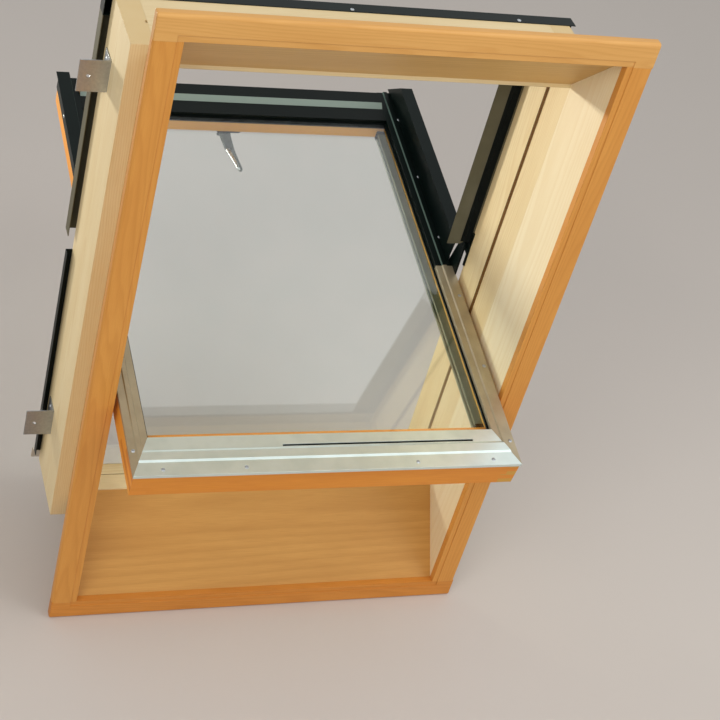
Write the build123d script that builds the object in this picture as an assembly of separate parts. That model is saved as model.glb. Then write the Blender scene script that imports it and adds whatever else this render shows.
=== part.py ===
from build123d import *
import math
import os

# Roof skylight: a centre-pivot window for a pitched roof, with its lining and casing.
# The window is modelled upright in its own frame: X across it, Y outwards through the roof
# and Z up the slope. The origin is the middle of the four fixing brackets, on the plane where
# they seat on the battens. The sash is drawn closed, then turned about its pivot to the
# half-turned cleaning position in which it is kept.

# Clear opening between the linings, and the wooden frame behind it
opening_w = 850.0
head_edge_z = 555.0
sill_edge_z = -555.0
frame_room_y = -110.0
frame_depth = 177.0
stile_w = 46.0
head_top_z = 592.0
sill_bottom_z = -628.0
head_lip_drop = 9.0
head_lip_rise = 20.0
head_stop_depth = 47.0
head_stop_drop = 24.0
sill_upstand_rise = 3.0
sill_upstand_fall = 9.0
sill_seat_z = -602.0

# Lining boards and casing boards on the room side
lining_depth = 151.0
lining_t = 13.0
head_splay = 149.0
sill_splay = 177.0
tongue_t = 7.0
tongue_d = 8.0
casing_t = 18.0
casing_side_w = 55.0
casing_head_w = 53.0
casing_sill_w = 50.0
casing_band_w = 13.0
casing_band_step = 1.5
casing_nose_r = 7.0
casing_end_r = 3.0

# Pivot and the position in which the sash is kept
pivot_out = 18.0
turned_deg = 99.0
pivot_rise = 74.0
pin_r = 6.0
pin_running_gap = 0.06
pin_head_r = 9.0
pin_head_t = 3.0
pin_past_arm = 1.0
eye_r = 13.0
plate_t = 4.0
plate_half_h = 45.0
plate_foot = 5.0
plate_flange_w = 30.0
plate_flange_half = 14.0
plate_screw_near = 6.0
plate_screw_far = 26.0
arm_t = 4.0
arm_half_w = 24.0
arm_foot_depth = 58.0
arm_foot_inset = 4.0
arm_boss_r = 10.0
arm_screw_in = 12.0
side_gap = 11.5
hinge_gap = 0.3

# Sash wood, measured inwards from the outer face of its metal cladding
sash_top = 558.0
sash_bottom = 572.0
sash_depth = 66.0
cladding_t = 2.0
stile_face = 33.5
top_rail_face = 122.0
bottom_rail_face = 90.0
glass_unit_t = 24.0
pane_t = 4.0
glass_set = 12.0
tape_t = 2.0
spacer_w = 10.0
top_tape_w = 20.0
half_split = 0.25
mitre_gap = 0.3
stile_upstand = 21.5
top_upstand = 79.0
bottom_upstand = 80.0
rebate_gap = 4.0
finger_count = 5
same_place = 0.01
rail_chamfer_depth = 12.0
rail_chamfer_run = 6.0

# Metal cladding of the sash
lip_w = 40.5
top_lip_w = 91.0
bottom_lip_w = 97.0
lip_gasket_t = 2.0
lip_gasket_in = 4.0
lip_gasket_out = 5.0
cladding_leg = 8.0
band_h = 3.0
band_step_shares = (0.33, 0.37)
band_slope_shares = (0.59, 0.65)
vent_slot_w = 420.0
vent_slot_h = 5.0
vent_slot_side = 91.5
vent_slot_in = 64.0
vent_strip_t = 4.0
vent_strip_over = 4.0
cap_h = 8.0
cap_flat_w = 40.0
cap_slope_w = 15.0
cap_nose = 10.0
cap_end_leg = 24.0
cap_past_wood = 3.0
pivot_notch = 3.0

# Raised covers on the lower half of the sash
side_cover_t = 2.0
side_cover_start = 17.0
side_cover_foot = 30.0
side_cover_in = 8.0
side_cover_reach = 21.5
side_cover_past = 14.0
side_cover_end_cut = 63.0
side_cover_over = 1.5

# Metal covers on the outer edge of the frame
cover_t = 1.5
upper_cover_start = 17.0
upper_cover_h = 30.0
upper_lip_in = 24.0
upper_lip_rise = 8.0
upper_crest_in = 43.0
upper_slant_in = 14.0
upper_slant_h = 25.5
cover_outer = 14.0
cover_foot_w = 34.0
cover_skirt = 18.0
cover_seal_t = 2.5
cover_seal_ridge = 1.2
seal_start = 4.0
seal_ridge_at = (0.3, 0.75)
lower_cover_inset = 5.0
hood_back = 16.0
sill_nose = 22.0
sill_skirt = 30.0
sill_flange = 50.0

# Seals in the wooden frame
plate_gasket_gap = 86.0
stile_gasket_w = 10.0
stile_gasket_depth = 4.0
stile_gasket_proud = 1.5
sill_gasket_t = 1.6
sill_gasket_h = 7.0
sash_rest_gap = 0.4
gasket_ridge_r = 1.0

# Handle, lock and keepers on the bottom rail
handle_x = -9.0
handle_plate_w = 61.0
handle_plate_t = 8.0
handle_inset = 2.0
neck_r = 12.0
neck_h = 20.0
neck_gap = 0.3
lever_root_w = 28.0
lever_tip_w = 14.0
lever_waist_w = 23.0
lever_waist = 62.0
lever_len = 150.0
lever_lean = 8.0
lever_t = 11.0
lever_dip = 20.0
spindle_r = 4.95
spindle_gap = 0.06
lock_travel = 18.0
lock_turn_deg = 90.0
lock_bar_len = 560.0
lock_bar_w = 16.0
lock_bar_t = 3.0
lock_bar_gap = 0.5
lock_bar_rise = 1.0
rack_gap = 0.1
spindle_room = 1.0
spindle_past = 2.0
spindle_in_lever = 6.0
handle_corner_r = 8.0
handle_edge = 1.5
rack_w = 70.0
rack_t = 3.0
case_w = 130.0
case_t = 12.0
case_wall = 2.0
pinion_t = 5.0
faceplate_t = 2.5
faceplate_w = 20.0
faceplate_over = 24.0
lock_depth = 40.0
cam_in = 30.0
cam_r = 4.0
cam_head_r = 6.5
cam_head_t = 3.0
cam_reach = 14.0
cam_slot_gap = 1.0
keeper_clear = 0.6
keeper_t = 3.0
keeper_top_gap = 6.5
keeper_w = 20.0
keeper_foot = 26.0

# Guide rails for a blind, on the inner faces of the sash
rail_w = 18.0
rail_t = 20.0
rail_wall = 1.6
rail_slot = 8.0
rail_cap_len = 10.0
rail_cap_proud = 1.0
rail_end_gap = 4.0
rail_set = 6.5

# Fixing brackets on the outer faces of the frame
bracket_t = 2.5
bracket_len = 60.0
bracket_wide = 70.0
bracket_leg = 48.0
bracket_hole_r = 3.5
bracket_hole_out = 40.0
bracket_z = 450.0

# Screws
screw_r = 2.0
screw_head_r = 4.0
screw_head_h = 1.2
screw_len = 14.0
row_count = 3
cover_screw_near = 103.0
upper_screw_far = 22.0
lower_screw_far = 62.0
across_screw_in = 65.0
side_screw_in = 7.0
side_screw_near = 90.0
side_screw_top = 60.0
side_screw_bottom = 92.0
side_cover_screw_near = 47.0
side_cover_screw_far = 115.0
top_screw_in = 13.0
top_screw_side = 59.5
top_screw_step = 170.0
bracket_screw_in = 16.0
bracket_screw_z = 20.0

# Places worked out from the sizes above, with the sash closed
half_open = opening_w / 2
frame_out_x = half_open + stile_w
frame_out_y = frame_room_y + frame_depth
pivot_y = frame_out_y + pivot_out
head_seat_z = head_edge_z - head_lip_drop + head_lip_rise
head_stop_z = head_seat_z - head_stop_drop
upstand_top_z = sill_edge_z + sill_upstand_rise - sill_upstand_fall
lining_front_y = frame_room_y - lining_depth
casing_front_y = lining_front_y - casing_t
casing_out_x = half_open + casing_side_w
casing_head_z = head_edge_z + head_splay
casing_sill_z = sill_edge_z - sill_splay
face_y = pivot_y - pivot_rise
back_y = face_y - sash_depth
upstand_y = back_y - sill_gasket_t - sash_rest_gap
stile_gasket_y = frame_out_y - plate_foot - plate_gasket_gap - stile_gasket_w / 2
wood_y = face_y - cladding_t
glass_y = face_y - glass_set
glass_back_y = glass_y - glass_unit_t
ledge_y = glass_back_y - tape_t
lip_y = glass_y + lip_gasket_t
sash_x = half_open - side_gap
vent_slot_x = sash_x - vent_slot_side - vent_slot_w / 2
stile_in_x = sash_x - stile_face
rebate_x = sash_x - stile_upstand
glass_x = rebate_x - rebate_gap
top_in_z = sash_top - top_rail_face
top_rebate_z = sash_top - top_upstand
bottom_in_z = -sash_bottom + bottom_rail_face
bottom_rebate_z = -sash_bottom + bottom_upstand
glass_top_z = top_rebate_z - rebate_gap
glass_bottom_z = bottom_rebate_z + rebate_gap
lip_x = sash_x - lip_w
lip_top_z = sash_top - top_lip_w
lip_bottom_z = -sash_bottom + bottom_lip_w
plate_x = half_open - plate_t
arm_x = sash_x + arm_t
side_cover_y = frame_out_y + cover_t + side_cover_over
spindle_z = bottom_in_z - handle_inset - handle_plate_w / 2
pinion_r = lock_travel / math.radians(lock_turn_deg)
lock_y = face_y - lock_depth
keeper_y = lock_y + cam_head_r + keeper_clear
cam_x = lock_bar_len / 2 - cam_in
cap_end_z = -sash_bottom - cap_past_wood
bar_top_z = -sash_bottom + faceplate_t + lock_bar_rise + lock_bar_t
cover_outer_x = frame_out_x + cover_outer


def block(x, y, z):
    """A box between two limits on each axis."""
    size = (abs(x[1] - x[0]), abs(y[1] - y[0]), abs(z[1] - z[0]))
    middle = ((x[0] + x[1]) / 2, (y[0] + y[1]) / 2, (z[0] + z[1]) / 2)
    return Pos(*middle) * Box(*size)


def section_along_x(points, x0, x1):
    """A straight member along X, its section given as (y, z) points."""
    face = Plane.YZ * make_face(Polyline(*points, close=True))
    return Pos(x0, 0, 0) * extrude(face, x1 - x0)


def section_along_z(points, z0, z1):
    """A straight member along Z, its section given as (x, y) points."""
    face = make_face(Polyline(*points, close=True))
    return Pos(0, 0, z0) * extrude(face, z1 - z0)


def rod_x(x0, x1, y, z, r):
    """A round bar along X."""
    return Pos((x0 + x1) / 2, y, z) * Rot(0, 90, 0) * Cylinder(r, abs(x1 - x0))


def rod_y(x, y0, y1, z, r):
    """A round bar along Y."""
    return Pos(x, (y0 + y1) / 2, z) * Rot(90, 0, 0) * Cylinder(r, abs(y1 - y0))


def rod_z(x, y, z0, z1, r):
    """A round bar along Z."""
    return Pos(x, y, (z0 + z1) / 2) * Cylinder(r, abs(z1 - z0))


def sheet(points, thickness, side):
    """Section of bent sheet: a path of points and the same path moved by the thickness.

    A side of 1 moves it to the left of the path, and -1 to the right.
    """
    normals = []
    for (ax, ay), (bx, by) in zip(points, points[1:]):
        run = math.hypot(bx - ax, by - ay)
        normals.append((-(by - ay) / run * side, (bx - ax) / run * side))
    moved = []
    for i, (px, py) in enumerate(points):
        before = normals[max(i - 1, 0)]
        after = normals[min(i, len(normals) - 1)]
        share = 1 + before[0] * after[0] + before[1] * after[1]
        mx = (before[0] + after[0]) / share
        my = (before[1] + after[1]) / share
        moved.append((px + mx * thickness, py + my * thickness))
    return points + moved[::-1]


def mirrored(shape):
    """The same piece for the other side of the window."""
    return mirror(shape, about=Plane.YZ)


def turned(shape):
    """A piece of the closed sash, carried to the position in which the sash is kept."""
    return Pos(0, pivot_y, 0) * Rot(turned_deg, 0, 0) * Pos(0, -pivot_y, 0) * shape


def group(pieces):
    """Separate solids kept under one name."""
    solids = []
    for piece in pieces:
        solids.extend(piece.solids())
    return Compound(solids)


def screw_along_x(x, y, z, into):
    """A screw with its head sunk at the plane x, pointing along X by the sign of into."""
    head = rod_x(x, x + into * screw_head_h, y, z, screw_head_r)
    return head + rod_x(x, x + into * screw_len, y, z, screw_r)


def screw_along_y(x, y, z, into):
    """A screw with its head sunk at the plane y, pointing along Y by the sign of into."""
    head = rod_y(x, y, y + into * screw_head_h, z, screw_head_r)
    return head + rod_y(x, y, y + into * screw_len, z, screw_r)


def screw_along_z(x, y, z, into):
    """A screw with its head sunk at the plane z, pointing along Z by the sign of into."""
    head = rod_z(x, y, z, z + into * screw_head_h, screw_head_r)
    return head + rod_z(x, y, z, z + into * screw_len, screw_r)


def spread(first, last):
    """Even places of a row of screws, from the first to the last."""
    return [first + (last - first) * i / (row_count - 1) for i in range(row_count)]


def long_edges(shape, axis, x=None, y=None, z=None):
    """Edges along an axis that lie at the given x, y or z."""
    found = []
    for edge in shape.edges().filter_by(axis):
        middle = edge.center()
        off = [abs(a - b) for a, b in zip((middle.X, middle.Y, middle.Z), (x, y, z)) if b is not None]
        if max(off) < same_place:
            found.append(edge)
    return found


# Casing and lining on the room side

def casing_side(side):
    """Upright casing board between the head and sill boards."""
    board = block((half_open, casing_out_x), (casing_front_y, lining_front_y), (casing_sill_z, casing_head_z))
    band = block(
        (half_open, half_open + casing_band_w),
        (casing_front_y, casing_front_y + casing_band_step),
        (casing_sill_z, casing_head_z),
    )
    board = fillet(long_edges(board - band, Axis.Z, x=casing_out_x, y=casing_front_y), casing_nose_r)
    return board if side > 0 else mirrored(board)


def casing_across(inner_z, width, direction):
    """Head or sill casing board, the full width of the casing."""
    outer_z = inner_z + direction * width
    band_z = inner_z + direction * casing_band_w
    board = block((-casing_out_x, casing_out_x), (casing_front_y, lining_front_y), (inner_z, outer_z))
    band = block(
        (-half_open - casing_band_w, half_open + casing_band_w),
        (casing_front_y, casing_front_y + casing_band_step),
        (inner_z, band_z),
    )
    board = fillet(long_edges(board - band, Axis.X, y=casing_front_y, z=outer_z), casing_nose_r)
    ends = []
    for x in (-casing_out_x, casing_out_x):
        ends.extend(long_edges(board, Axis.Y, x=x, z=outer_z))
        ends.extend(long_edges(board, Axis.Z, x=x, y=casing_front_y))
    return fillet(ends, casing_end_r) if ends else board


def lining_slant(rise):
    """How far a sloping lining board reaches along Z through its thickness."""
    return lining_t * math.hypot(lining_depth, rise) / lining_depth


def lining_side(side):
    """Side lining: a trapezium of board, wider at the room side, tongued into the stile."""
    outline = [
        (lining_front_y, casing_sill_z - lining_slant(sill_splay)),
        (lining_front_y, casing_head_z + lining_slant(head_splay)),
        (frame_room_y, head_edge_z + lining_slant(head_splay)),
        (frame_room_y, sill_edge_z - lining_slant(sill_splay)),
    ]
    board = section_along_x(outline, half_open, half_open + lining_t) + lining_tongue()
    return board if side > 0 else mirrored(board)


def lining_tongue():
    """Tongue on the far edge of the right lining board."""
    return block(
        (half_open + lining_t - tongue_t, half_open + lining_t),
        (frame_room_y, frame_room_y + tongue_d),
        (sill_edge_z, head_edge_z),
    )


def lining_head():
    """Sloping head lining, level with the room when the roof carries the window."""
    outline = [
        (lining_front_y, casing_head_z),
        (frame_room_y, head_edge_z),
        (frame_room_y, head_edge_z + lining_slant(head_splay)),
        (lining_front_y, casing_head_z + lining_slant(head_splay)),
    ]
    return section_along_x(outline, -half_open, half_open)


def lining_sill():
    """Sloping sill lining, upright in the room when the roof carries the window."""
    outline = [
        (lining_front_y, casing_sill_z),
        (frame_room_y, sill_edge_z),
        (frame_room_y, sill_edge_z - lining_slant(sill_splay)),
        (lining_front_y, casing_sill_z - lining_slant(sill_splay)),
    ]
    return section_along_x(outline, -half_open, half_open)


# Wooden frame, with its seals and hinge plates

def frame_stile(side):
    """Frame stile with a groove for its seal and one for the tongue of the lining."""
    stile = block((half_open, frame_out_x), (frame_room_y, frame_out_y), (sill_bottom_z, head_top_z))
    groove = block(
        (half_open, half_open + stile_gasket_depth),
        (stile_gasket_y - stile_gasket_w / 2, stile_gasket_y + stile_gasket_w / 2),
        (sill_bottom_z, head_top_z),
    )
    stile = stile - groove - lining_tongue() - group(plate_screws())
    stile = stile - group(bracket_screws() + stile_cover_screws())
    return stile if side > 0 else mirrored(stile)


def frame_head():
    """Frame head: a sloping lip over the sash's swing and a stop in front of the closed sash."""
    stop_y = frame_out_y - head_stop_depth
    outline = [
        (frame_room_y, head_edge_z - head_lip_drop),
        (upstand_y, head_seat_z),
        (stop_y, head_seat_z),
        (stop_y, head_stop_z),
        (frame_out_y, head_stop_z),
        (frame_out_y, head_top_z),
        (frame_room_y, head_top_z),
    ]
    return section_along_x(outline, -half_open, half_open) - group(hood_screws())


def frame_sill():
    """Frame sill: an upstand on the room side and a lower seat under the closed sash."""
    outline = [
        (frame_room_y, sill_bottom_z),
        (frame_room_y, sill_edge_z + sill_upstand_rise),
        (upstand_y, upstand_top_z),
        (upstand_y, sill_seat_z),
        (frame_out_y, sill_seat_z),
        (frame_out_y, sill_bottom_z),
    ]
    sill = section_along_x(outline, -half_open, half_open)
    return sill - group(keeper_screws()) - group(sill_cover_screws())


def stile_gasket(side):
    """Rubber seal in the groove of the frame stile, between sill and head."""
    strip = block(
        (half_open - stile_gasket_proud, half_open + stile_gasket_depth),
        (stile_gasket_y - stile_gasket_w / 2, stile_gasket_y + stile_gasket_w / 2),
        (sill_seat_z, head_seat_z),
    )
    ridge = rod_z(half_open - stile_gasket_proud, stile_gasket_y, sill_seat_z, head_seat_z, gasket_ridge_r)
    strip = strip + ridge
    return strip if side > 0 else mirrored(strip)


def sill_gasket():
    """Rubber strip on the sill upstand, against which the closed sash rests."""
    y = (upstand_y, upstand_y + sill_gasket_t)
    return block((-sash_x, sash_x), y, (upstand_top_z - sill_gasket_h, upstand_top_z))


def hinge_plate_blank():
    """Outline of the right hinge plate: an ear around the pivot and a flange on the stile."""
    foot = block((plate_x, half_open), (frame_out_y - plate_foot, frame_out_y), (-plate_half_h, plate_half_h))
    neck = block((plate_x, half_open), (frame_out_y, pivot_y), (-eye_r, eye_r))
    flange = block(
        (plate_x, half_open + plate_flange_w),
        (frame_out_y, frame_out_y + plate_t),
        (-plate_flange_half, plate_flange_half),
    )
    return foot + flange + neck + rod_x(plate_x, half_open, pivot_y, 0, eye_r)


def plate_screws():
    """Screws that hold the flange of the right hinge plate to the outer edge of the stile."""
    y = frame_out_y + plate_t
    row = spread(half_open + plate_screw_near, half_open + plate_screw_far)
    return [screw_along_y(x, y, 0, -1) for x in row]


def hinge_plate(side):
    """Steel plate on the stile with the fixed pivot pin riveted through it."""
    pin = rod_x(sash_x - pin_past_arm, half_open, pivot_y, 0, pin_r)
    head = rod_x(half_open, half_open + pin_head_t, pivot_y, 0, pin_head_r)
    plate = hinge_plate_blank() + pin + head - group(plate_screws())
    return plate if side > 0 else mirrored(plate)


# Metal covers on the outer edge of the frame

def upper_cover(side):
    """Side cover of the frame above the pivot, with a lip over the edge of the closed sash.

    The lip runs on past the foot and is cut off at a slant beside the pivot.
    """
    crest_x = half_open - upper_crest_in
    crest_y = frame_out_y + upper_cover_h
    path = [
        (half_open + cover_foot_w, frame_out_y),
        (half_open, frame_out_y),
        (half_open - upper_lip_in, frame_out_y + upper_lip_rise),
        (crest_x, crest_y),
        (cover_outer_x, crest_y),
        (cover_outer_x, frame_out_y),
    ]
    slant_z = upper_cover_start - upper_slant_h
    section = sheet(path, cover_t, -1)
    cover = section_along_z(section, slant_z, head_stop_z)
    end_cut = [
        (crest_x, slant_z),
        (half_open - upper_slant_in, upper_cover_start),
        (cover_outer_x + cover_t, upper_cover_start),
        (cover_outer_x + cover_t, slant_z),
    ]
    face = Plane.XZ * make_face(Polyline(*end_cut, close=True))
    cover = cover - Pos(0, crest_y + cover_t, 0) * extrude(face, upper_cover_h + 2 * cover_t)
    cover = cover - group(stile_cover_screws())
    return cover if side > 0 else mirrored(cover)


def cover_seal(side):
    """Dark ridged seal under the lip of the upper side cover, seen from the room."""
    lip_x_end = half_open - upper_lip_in
    lip_y_end = frame_out_y + upper_lip_rise
    run = math.hypot(upper_lip_in, upper_lip_rise)
    across = (upper_lip_in / run, -upper_lip_rise / run)
    down = (-upper_lip_rise / run, -upper_lip_in / run)
    start = (half_open - seal_start, frame_out_y + seal_start * upper_lip_rise / upper_lip_in)
    end = (lip_x_end, lip_y_end)
    section = [
        start,
        end,
        (end[0] + down[0] * cover_seal_t, end[1] + down[1] * cover_seal_t),
        (start[0] + down[0] * cover_seal_t, start[1] + down[1] * cover_seal_t),
    ]
    strip = section_along_z(section, upper_cover_start, head_stop_z)
    for share in seal_ridge_at:
        x = end[0] + across[0] * run * share + down[0] * cover_seal_t
        y = end[1] + across[1] * run * share + down[1] * cover_seal_t
        strip = strip + rod_z(x, y, upper_cover_start, head_stop_z, cover_seal_ridge)
    return strip if side > 0 else mirrored(strip)


def lower_cover(side):
    """Flat side cover of the frame below the pivot, on the stile's outer edge."""
    top_y = frame_out_y + cover_t
    path = [
        (half_open + lower_cover_inset, top_y),
        (cover_outer_x, top_y),
        (cover_outer_x, top_y - cover_skirt),
    ]
    section = sheet(path, cover_t, -1)
    cover = section_along_z(section, sill_seat_z + cover_t, -upper_cover_start)
    cover = cover - group(stile_cover_screws())
    return cover if side > 0 else mirrored(cover)


def stile_cover_screws():
    """Screws that hold the right upper and lower side covers to the stile."""
    x = half_open + cover_foot_w / 2
    y = frame_out_y + cover_t
    upper = spread(upper_cover_start + cover_screw_near, head_stop_z - upper_screw_far)
    lower = spread(sill_seat_z + lower_screw_far, -upper_cover_start - cover_screw_near)
    return [screw_along_y(x, y, z, -1) for z in lower + upper]


def head_hood():
    """Hood over the frame head, closed at both ends."""
    front_y = frame_out_y + upper_cover_h
    top_z = head_top_z + cover_t
    front = [
        (frame_out_y, head_stop_z),
        (front_y, head_stop_z),
        (front_y, top_z - hood_back),
        (front_y - hood_back, top_z),
    ]
    path = front + [(frame_out_y - hood_back, top_z)]
    hood = section_along_x(sheet(path, cover_t, 1), -cover_outer_x, cover_outer_x)
    wall = front + [(frame_out_y, top_z)]
    for x in (-cover_outer_x, cover_outer_x - cover_t):
        hood = hood + section_along_x(wall, x, x + cover_t)
    return hood - group(hood_screws())


def hood_screws():
    """Screws through the back of the hood into the frame head."""
    y = frame_out_y - hood_back / 2
    return [screw_along_z(x, y, head_top_z + cover_t, -1) for x in across_screw_row()]


def across_screw_row():
    """Places across the window of the screws in the hood and in the sill cover."""
    end = half_open - across_screw_in
    return spread(-end, end)


def sill_cover():
    """Cover over the outer edge of the sill, with a drip nose."""
    top_z = sill_seat_z + cover_t
    path = [
        (frame_out_y - sill_flange, top_z),
        (frame_out_y + cover_t, top_z),
        (frame_out_y + sill_nose, top_z - sill_nose / 2),
        (frame_out_y + sill_nose, top_z - sill_nose / 2 - sill_skirt),
    ]
    cover = section_along_x(sheet(path, cover_t, -1), -cover_outer_x, cover_outer_x)
    for side in (-1, 1):
        stile = block(
            (side * half_open, side * (cover_outer_x + cover_t)),
            (frame_room_y, frame_out_y),
            (sill_bottom_z, head_top_z),
        )
        cover = cover - stile
    return cover - group(sill_cover_screws())


def sill_cover_screws():
    """Screws through the sill cover into the seat of the frame sill."""
    y = frame_out_y - sill_flange / 2
    return [screw_along_z(x, y, sill_seat_z + cover_t, -1) for x in across_screw_row()]


# Fixing brackets

def bracket(side, end):
    """Angle bracket: one leg on the stile, one leg on the batten with a screw hole."""
    z = end * bracket_z
    span = (z - bracket_wide / 2, z + bracket_wide / 2)
    leg = block((frame_out_x, frame_out_x + bracket_t), (0, bracket_leg), span)
    foot = block((frame_out_x, frame_out_x + bracket_len), (0, bracket_t), span)
    hole = rod_y(frame_out_x + bracket_hole_out, 0, bracket_t, z, bracket_hole_r)
    piece = leg + foot - hole - group(bracket_screws())
    return piece if side > 0 else mirrored(piece)


def bracket_screws():
    """Screws through the upright legs of both right brackets into the stile."""
    x = frame_out_x + bracket_t
    y = bracket_leg - bracket_screw_in
    rows = [end * (bracket_z + step) for end in (-1, 1) for step in (-bracket_screw_z, bracket_screw_z)]
    return [screw_along_x(x, y, z, -1) for z in rows]


# Sash, drawn closed

def stile_blank():
    """Right sash stile before its ends are cut for the finger joints."""
    outline = [
        (stile_in_x, back_y),
        (sash_x, back_y),
        (sash_x, wood_y),
        (rebate_x, wood_y),
        (rebate_x, ledge_y),
        (stile_in_x, ledge_y),
    ]
    return section_along_z(outline, -sash_bottom, sash_top)


def top_rail_blank():
    """Top rail at full width, before its ends are cut for the finger joints."""
    outline = [
        (back_y, sash_top),
        (back_y, top_in_z),
        (ledge_y, top_in_z),
        (ledge_y, top_rebate_z),
        (wood_y, top_rebate_z),
        (wood_y, sash_top),
    ]
    return section_along_x(outline, -sash_x, sash_x)


def bottom_rail_blank():
    """Bottom rail at full width, before its ends are cut for the finger joints."""
    outline = [
        (back_y, -sash_bottom),
        (back_y, bottom_in_z),
        (ledge_y, bottom_in_z),
        (ledge_y, bottom_rebate_z),
        (wood_y, bottom_rebate_z),
        (wood_y, -sash_bottom),
    ]
    return section_along_x(outline, -sash_x, sash_x)


def swing_chamfer():
    """Wedge taken off the room-side lower edge of the sash, so it clears the sill as it swings."""
    outline = [
        (back_y, -sash_bottom),
        (back_y, -sash_bottom + rail_chamfer_run),
        (back_y + rail_chamfer_depth, -sash_bottom),
    ]
    return section_along_x(outline, -sash_x, sash_x)


def finger_layers(first):
    """Every second layer through the thickness of the sash, starting from the first given."""
    step = (wood_y - back_y) / finger_count
    layers = []
    for i in range(first, finger_count, 2):
        low = back_y + i * step
        layers.append(block((-half_open, half_open), (low, low + step), (-2 * sash_bottom, 2 * sash_top)))
    return group(layers)


def sash_stile(side):
    """Sash stile, combed into both rails at its ends."""
    taken = finger_layers(1)
    stile = stile_blank() - (top_rail_blank() & taken) - (bottom_rail_blank() & taken) - swing_chamfer()
    stile = stile - group(arm_screws() + side_cover_screws() + side_cladding_screws())
    return stile if side > 0 else mirrored(stile)


def sash_top_rail():
    """Top rail, combed into both stiles, with a pocket for the vent strip."""
    rail = top_rail_blank()
    given = stile_blank() & finger_layers(0)
    rail = rail - given - mirrored(given) - vent_strip()
    return rail - group(top_cladding_screws())


def sash_bottom_rail():
    """Bottom rail, combed into both stiles, with the pocket of the lock and its bar."""
    rail = bottom_rail_blank()
    given = stile_blank() & finger_layers(0)
    rail = rail - given - mirrored(given) - swing_chamfer()
    bar_room = block(
        (-lock_bar_len / 2 - lock_travel - lock_bar_gap, lock_bar_len / 2 + lock_bar_gap),
        (lock_y - lock_bar_w / 2 - lock_bar_gap, lock_y + lock_bar_w / 2 + lock_bar_gap),
        (-sash_bottom, bar_top_z + lock_bar_gap),
    )
    rail = rail - bar_room - faceplate_blank() - case_blank()
    return rail - rod_y(handle_x, back_y, lock_y, spindle_z, spindle_r + spindle_room)


def glass_pane(back):
    """One pane of the sealed glazing unit, its back face at the given y."""
    return block((-glass_x, glass_x), (back, back + pane_t), (glass_bottom_z, glass_top_z))


def ring(x_in, x_out, y, z_in, z_out):
    """Four strips around an opening: uprights full height, cross strips between them."""
    low = (z_out[0], z_in[0])
    high = (z_in[1], z_out[1])
    strips = [block((side * x_in, side * x_out), y, (z_out[0], z_out[1])) for side in (-1, 1)]
    strips.extend(block((-x_in, x_in), y, span) for span in (low, high))
    return group(strips)


def glass_spacer():
    """Spacer bars and sealant between the panes."""
    return ring(
        glass_x - spacer_w,
        glass_x,
        (glass_back_y + pane_t, glass_y - pane_t),
        (glass_bottom_z + spacer_w, glass_top_z - spacer_w),
        (glass_bottom_z, glass_top_z),
    )


def glazing_tape():
    """Tape between the rebate and the back of the glazing unit."""
    return ring(
        stile_in_x,
        glass_x,
        (ledge_y, glass_back_y),
        (bottom_in_z, glass_top_z - top_tape_w),
        (glass_bottom_z, glass_top_z),
    )


def lip_gasket():
    """Outer glazing gasket under the lips of the metal cladding."""
    return ring(
        lip_x - lip_gasket_in,
        lip_x + lip_gasket_out,
        (glass_y, lip_y),
        (lip_bottom_z + lip_gasket_in, lip_top_z - lip_gasket_in),
        (lip_bottom_z - lip_gasket_out, lip_top_z + lip_gasket_out),
    )


def face_profile(edge, width):
    """Face of a cladding as (place, height) points: a strip by the glass, a band and a flange.

    The slopes of the raised band keep the same shares of every width, so they meet at a mitre.
    """
    step_foot, step_top = band_step_shares
    slope_top, slope_foot = band_slope_shares
    return [
        (edge - width, face_y),
        (edge - width * slope_foot, face_y),
        (edge - width * slope_top, face_y + band_h),
        (edge - width * step_top, face_y + band_h),
        (edge - width * step_foot, face_y),
    ]


def side_cladding_section(leg):
    """Section of the side cladding: lip on the glass, profiled face and, if asked, an outer leg."""
    outer_x = sash_x + cladding_t if leg else sash_x
    path = [(lip_x, lip_y)] + face_profile(sash_x, lip_w) + [(outer_x, face_y)]
    if leg:
        path.append((outer_x, face_y - cladding_leg))
    return sheet(path, cladding_t, -1)


def mitre_wedge(gap):
    """The space of the top cladding, up to the mitre lines at its two ends."""
    outer = (sash_x + cladding_t, sash_top + cladding_t)
    slope = (outer[1] - lip_top_z) / (outer[0] - lip_x)
    reach = lip_top_z - lip_x * slope
    low_z = reach + slope * gap
    high_x = outer[0] + cladding_leg
    high_z = reach + slope * (high_x + gap)
    outline = [(0, low_z), (high_x, high_z), (-high_x, high_z)]
    face = Plane.XZ * make_face(Polyline(*outline, close=True))
    return Pos(0, face_y + cladding_leg, 0) * extrude(face, cladding_leg + sash_depth)


def upper_side_cladding(side):
    """Pale aluminium cladding of the sash stile above the pivot, mitred at the top corner."""
    piece = section_along_z(side_cladding_section(True), half_split, sash_top + cladding_t)
    notch = block(
        (sash_x, half_open),
        (face_y - sash_depth, face_y),
        (half_split, arm_half_w + pivot_notch),
    )
    piece = piece - notch - mitre_wedge(-mitre_gap) - group(side_cladding_screws())
    return piece if side > 0 else mirrored(piece)


def lower_side_cladding(side):
    """Dark cladding of the sash stile below the pivot."""
    piece = section_along_z(side_cladding_section(False), cap_end_z, -half_split)
    lip_end = block((lip_x, lip_x + cladding_t), (lip_y, wood_y), (cap_end_z, lip_bottom_z))
    piece = piece - lip_end - group(side_cladding_screws())
    return piece if side > 0 else mirrored(piece)


def side_cladding_screws():
    """Screws down the flat of the right side cladding."""
    x = sash_x - side_screw_in
    upper = spread(side_screw_near, sash_top - side_screw_top)
    lower = spread(side_screw_bottom - sash_bottom, -side_screw_near)
    return [screw_along_y(x, face_y, z, -1) for z in lower + upper]


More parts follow.
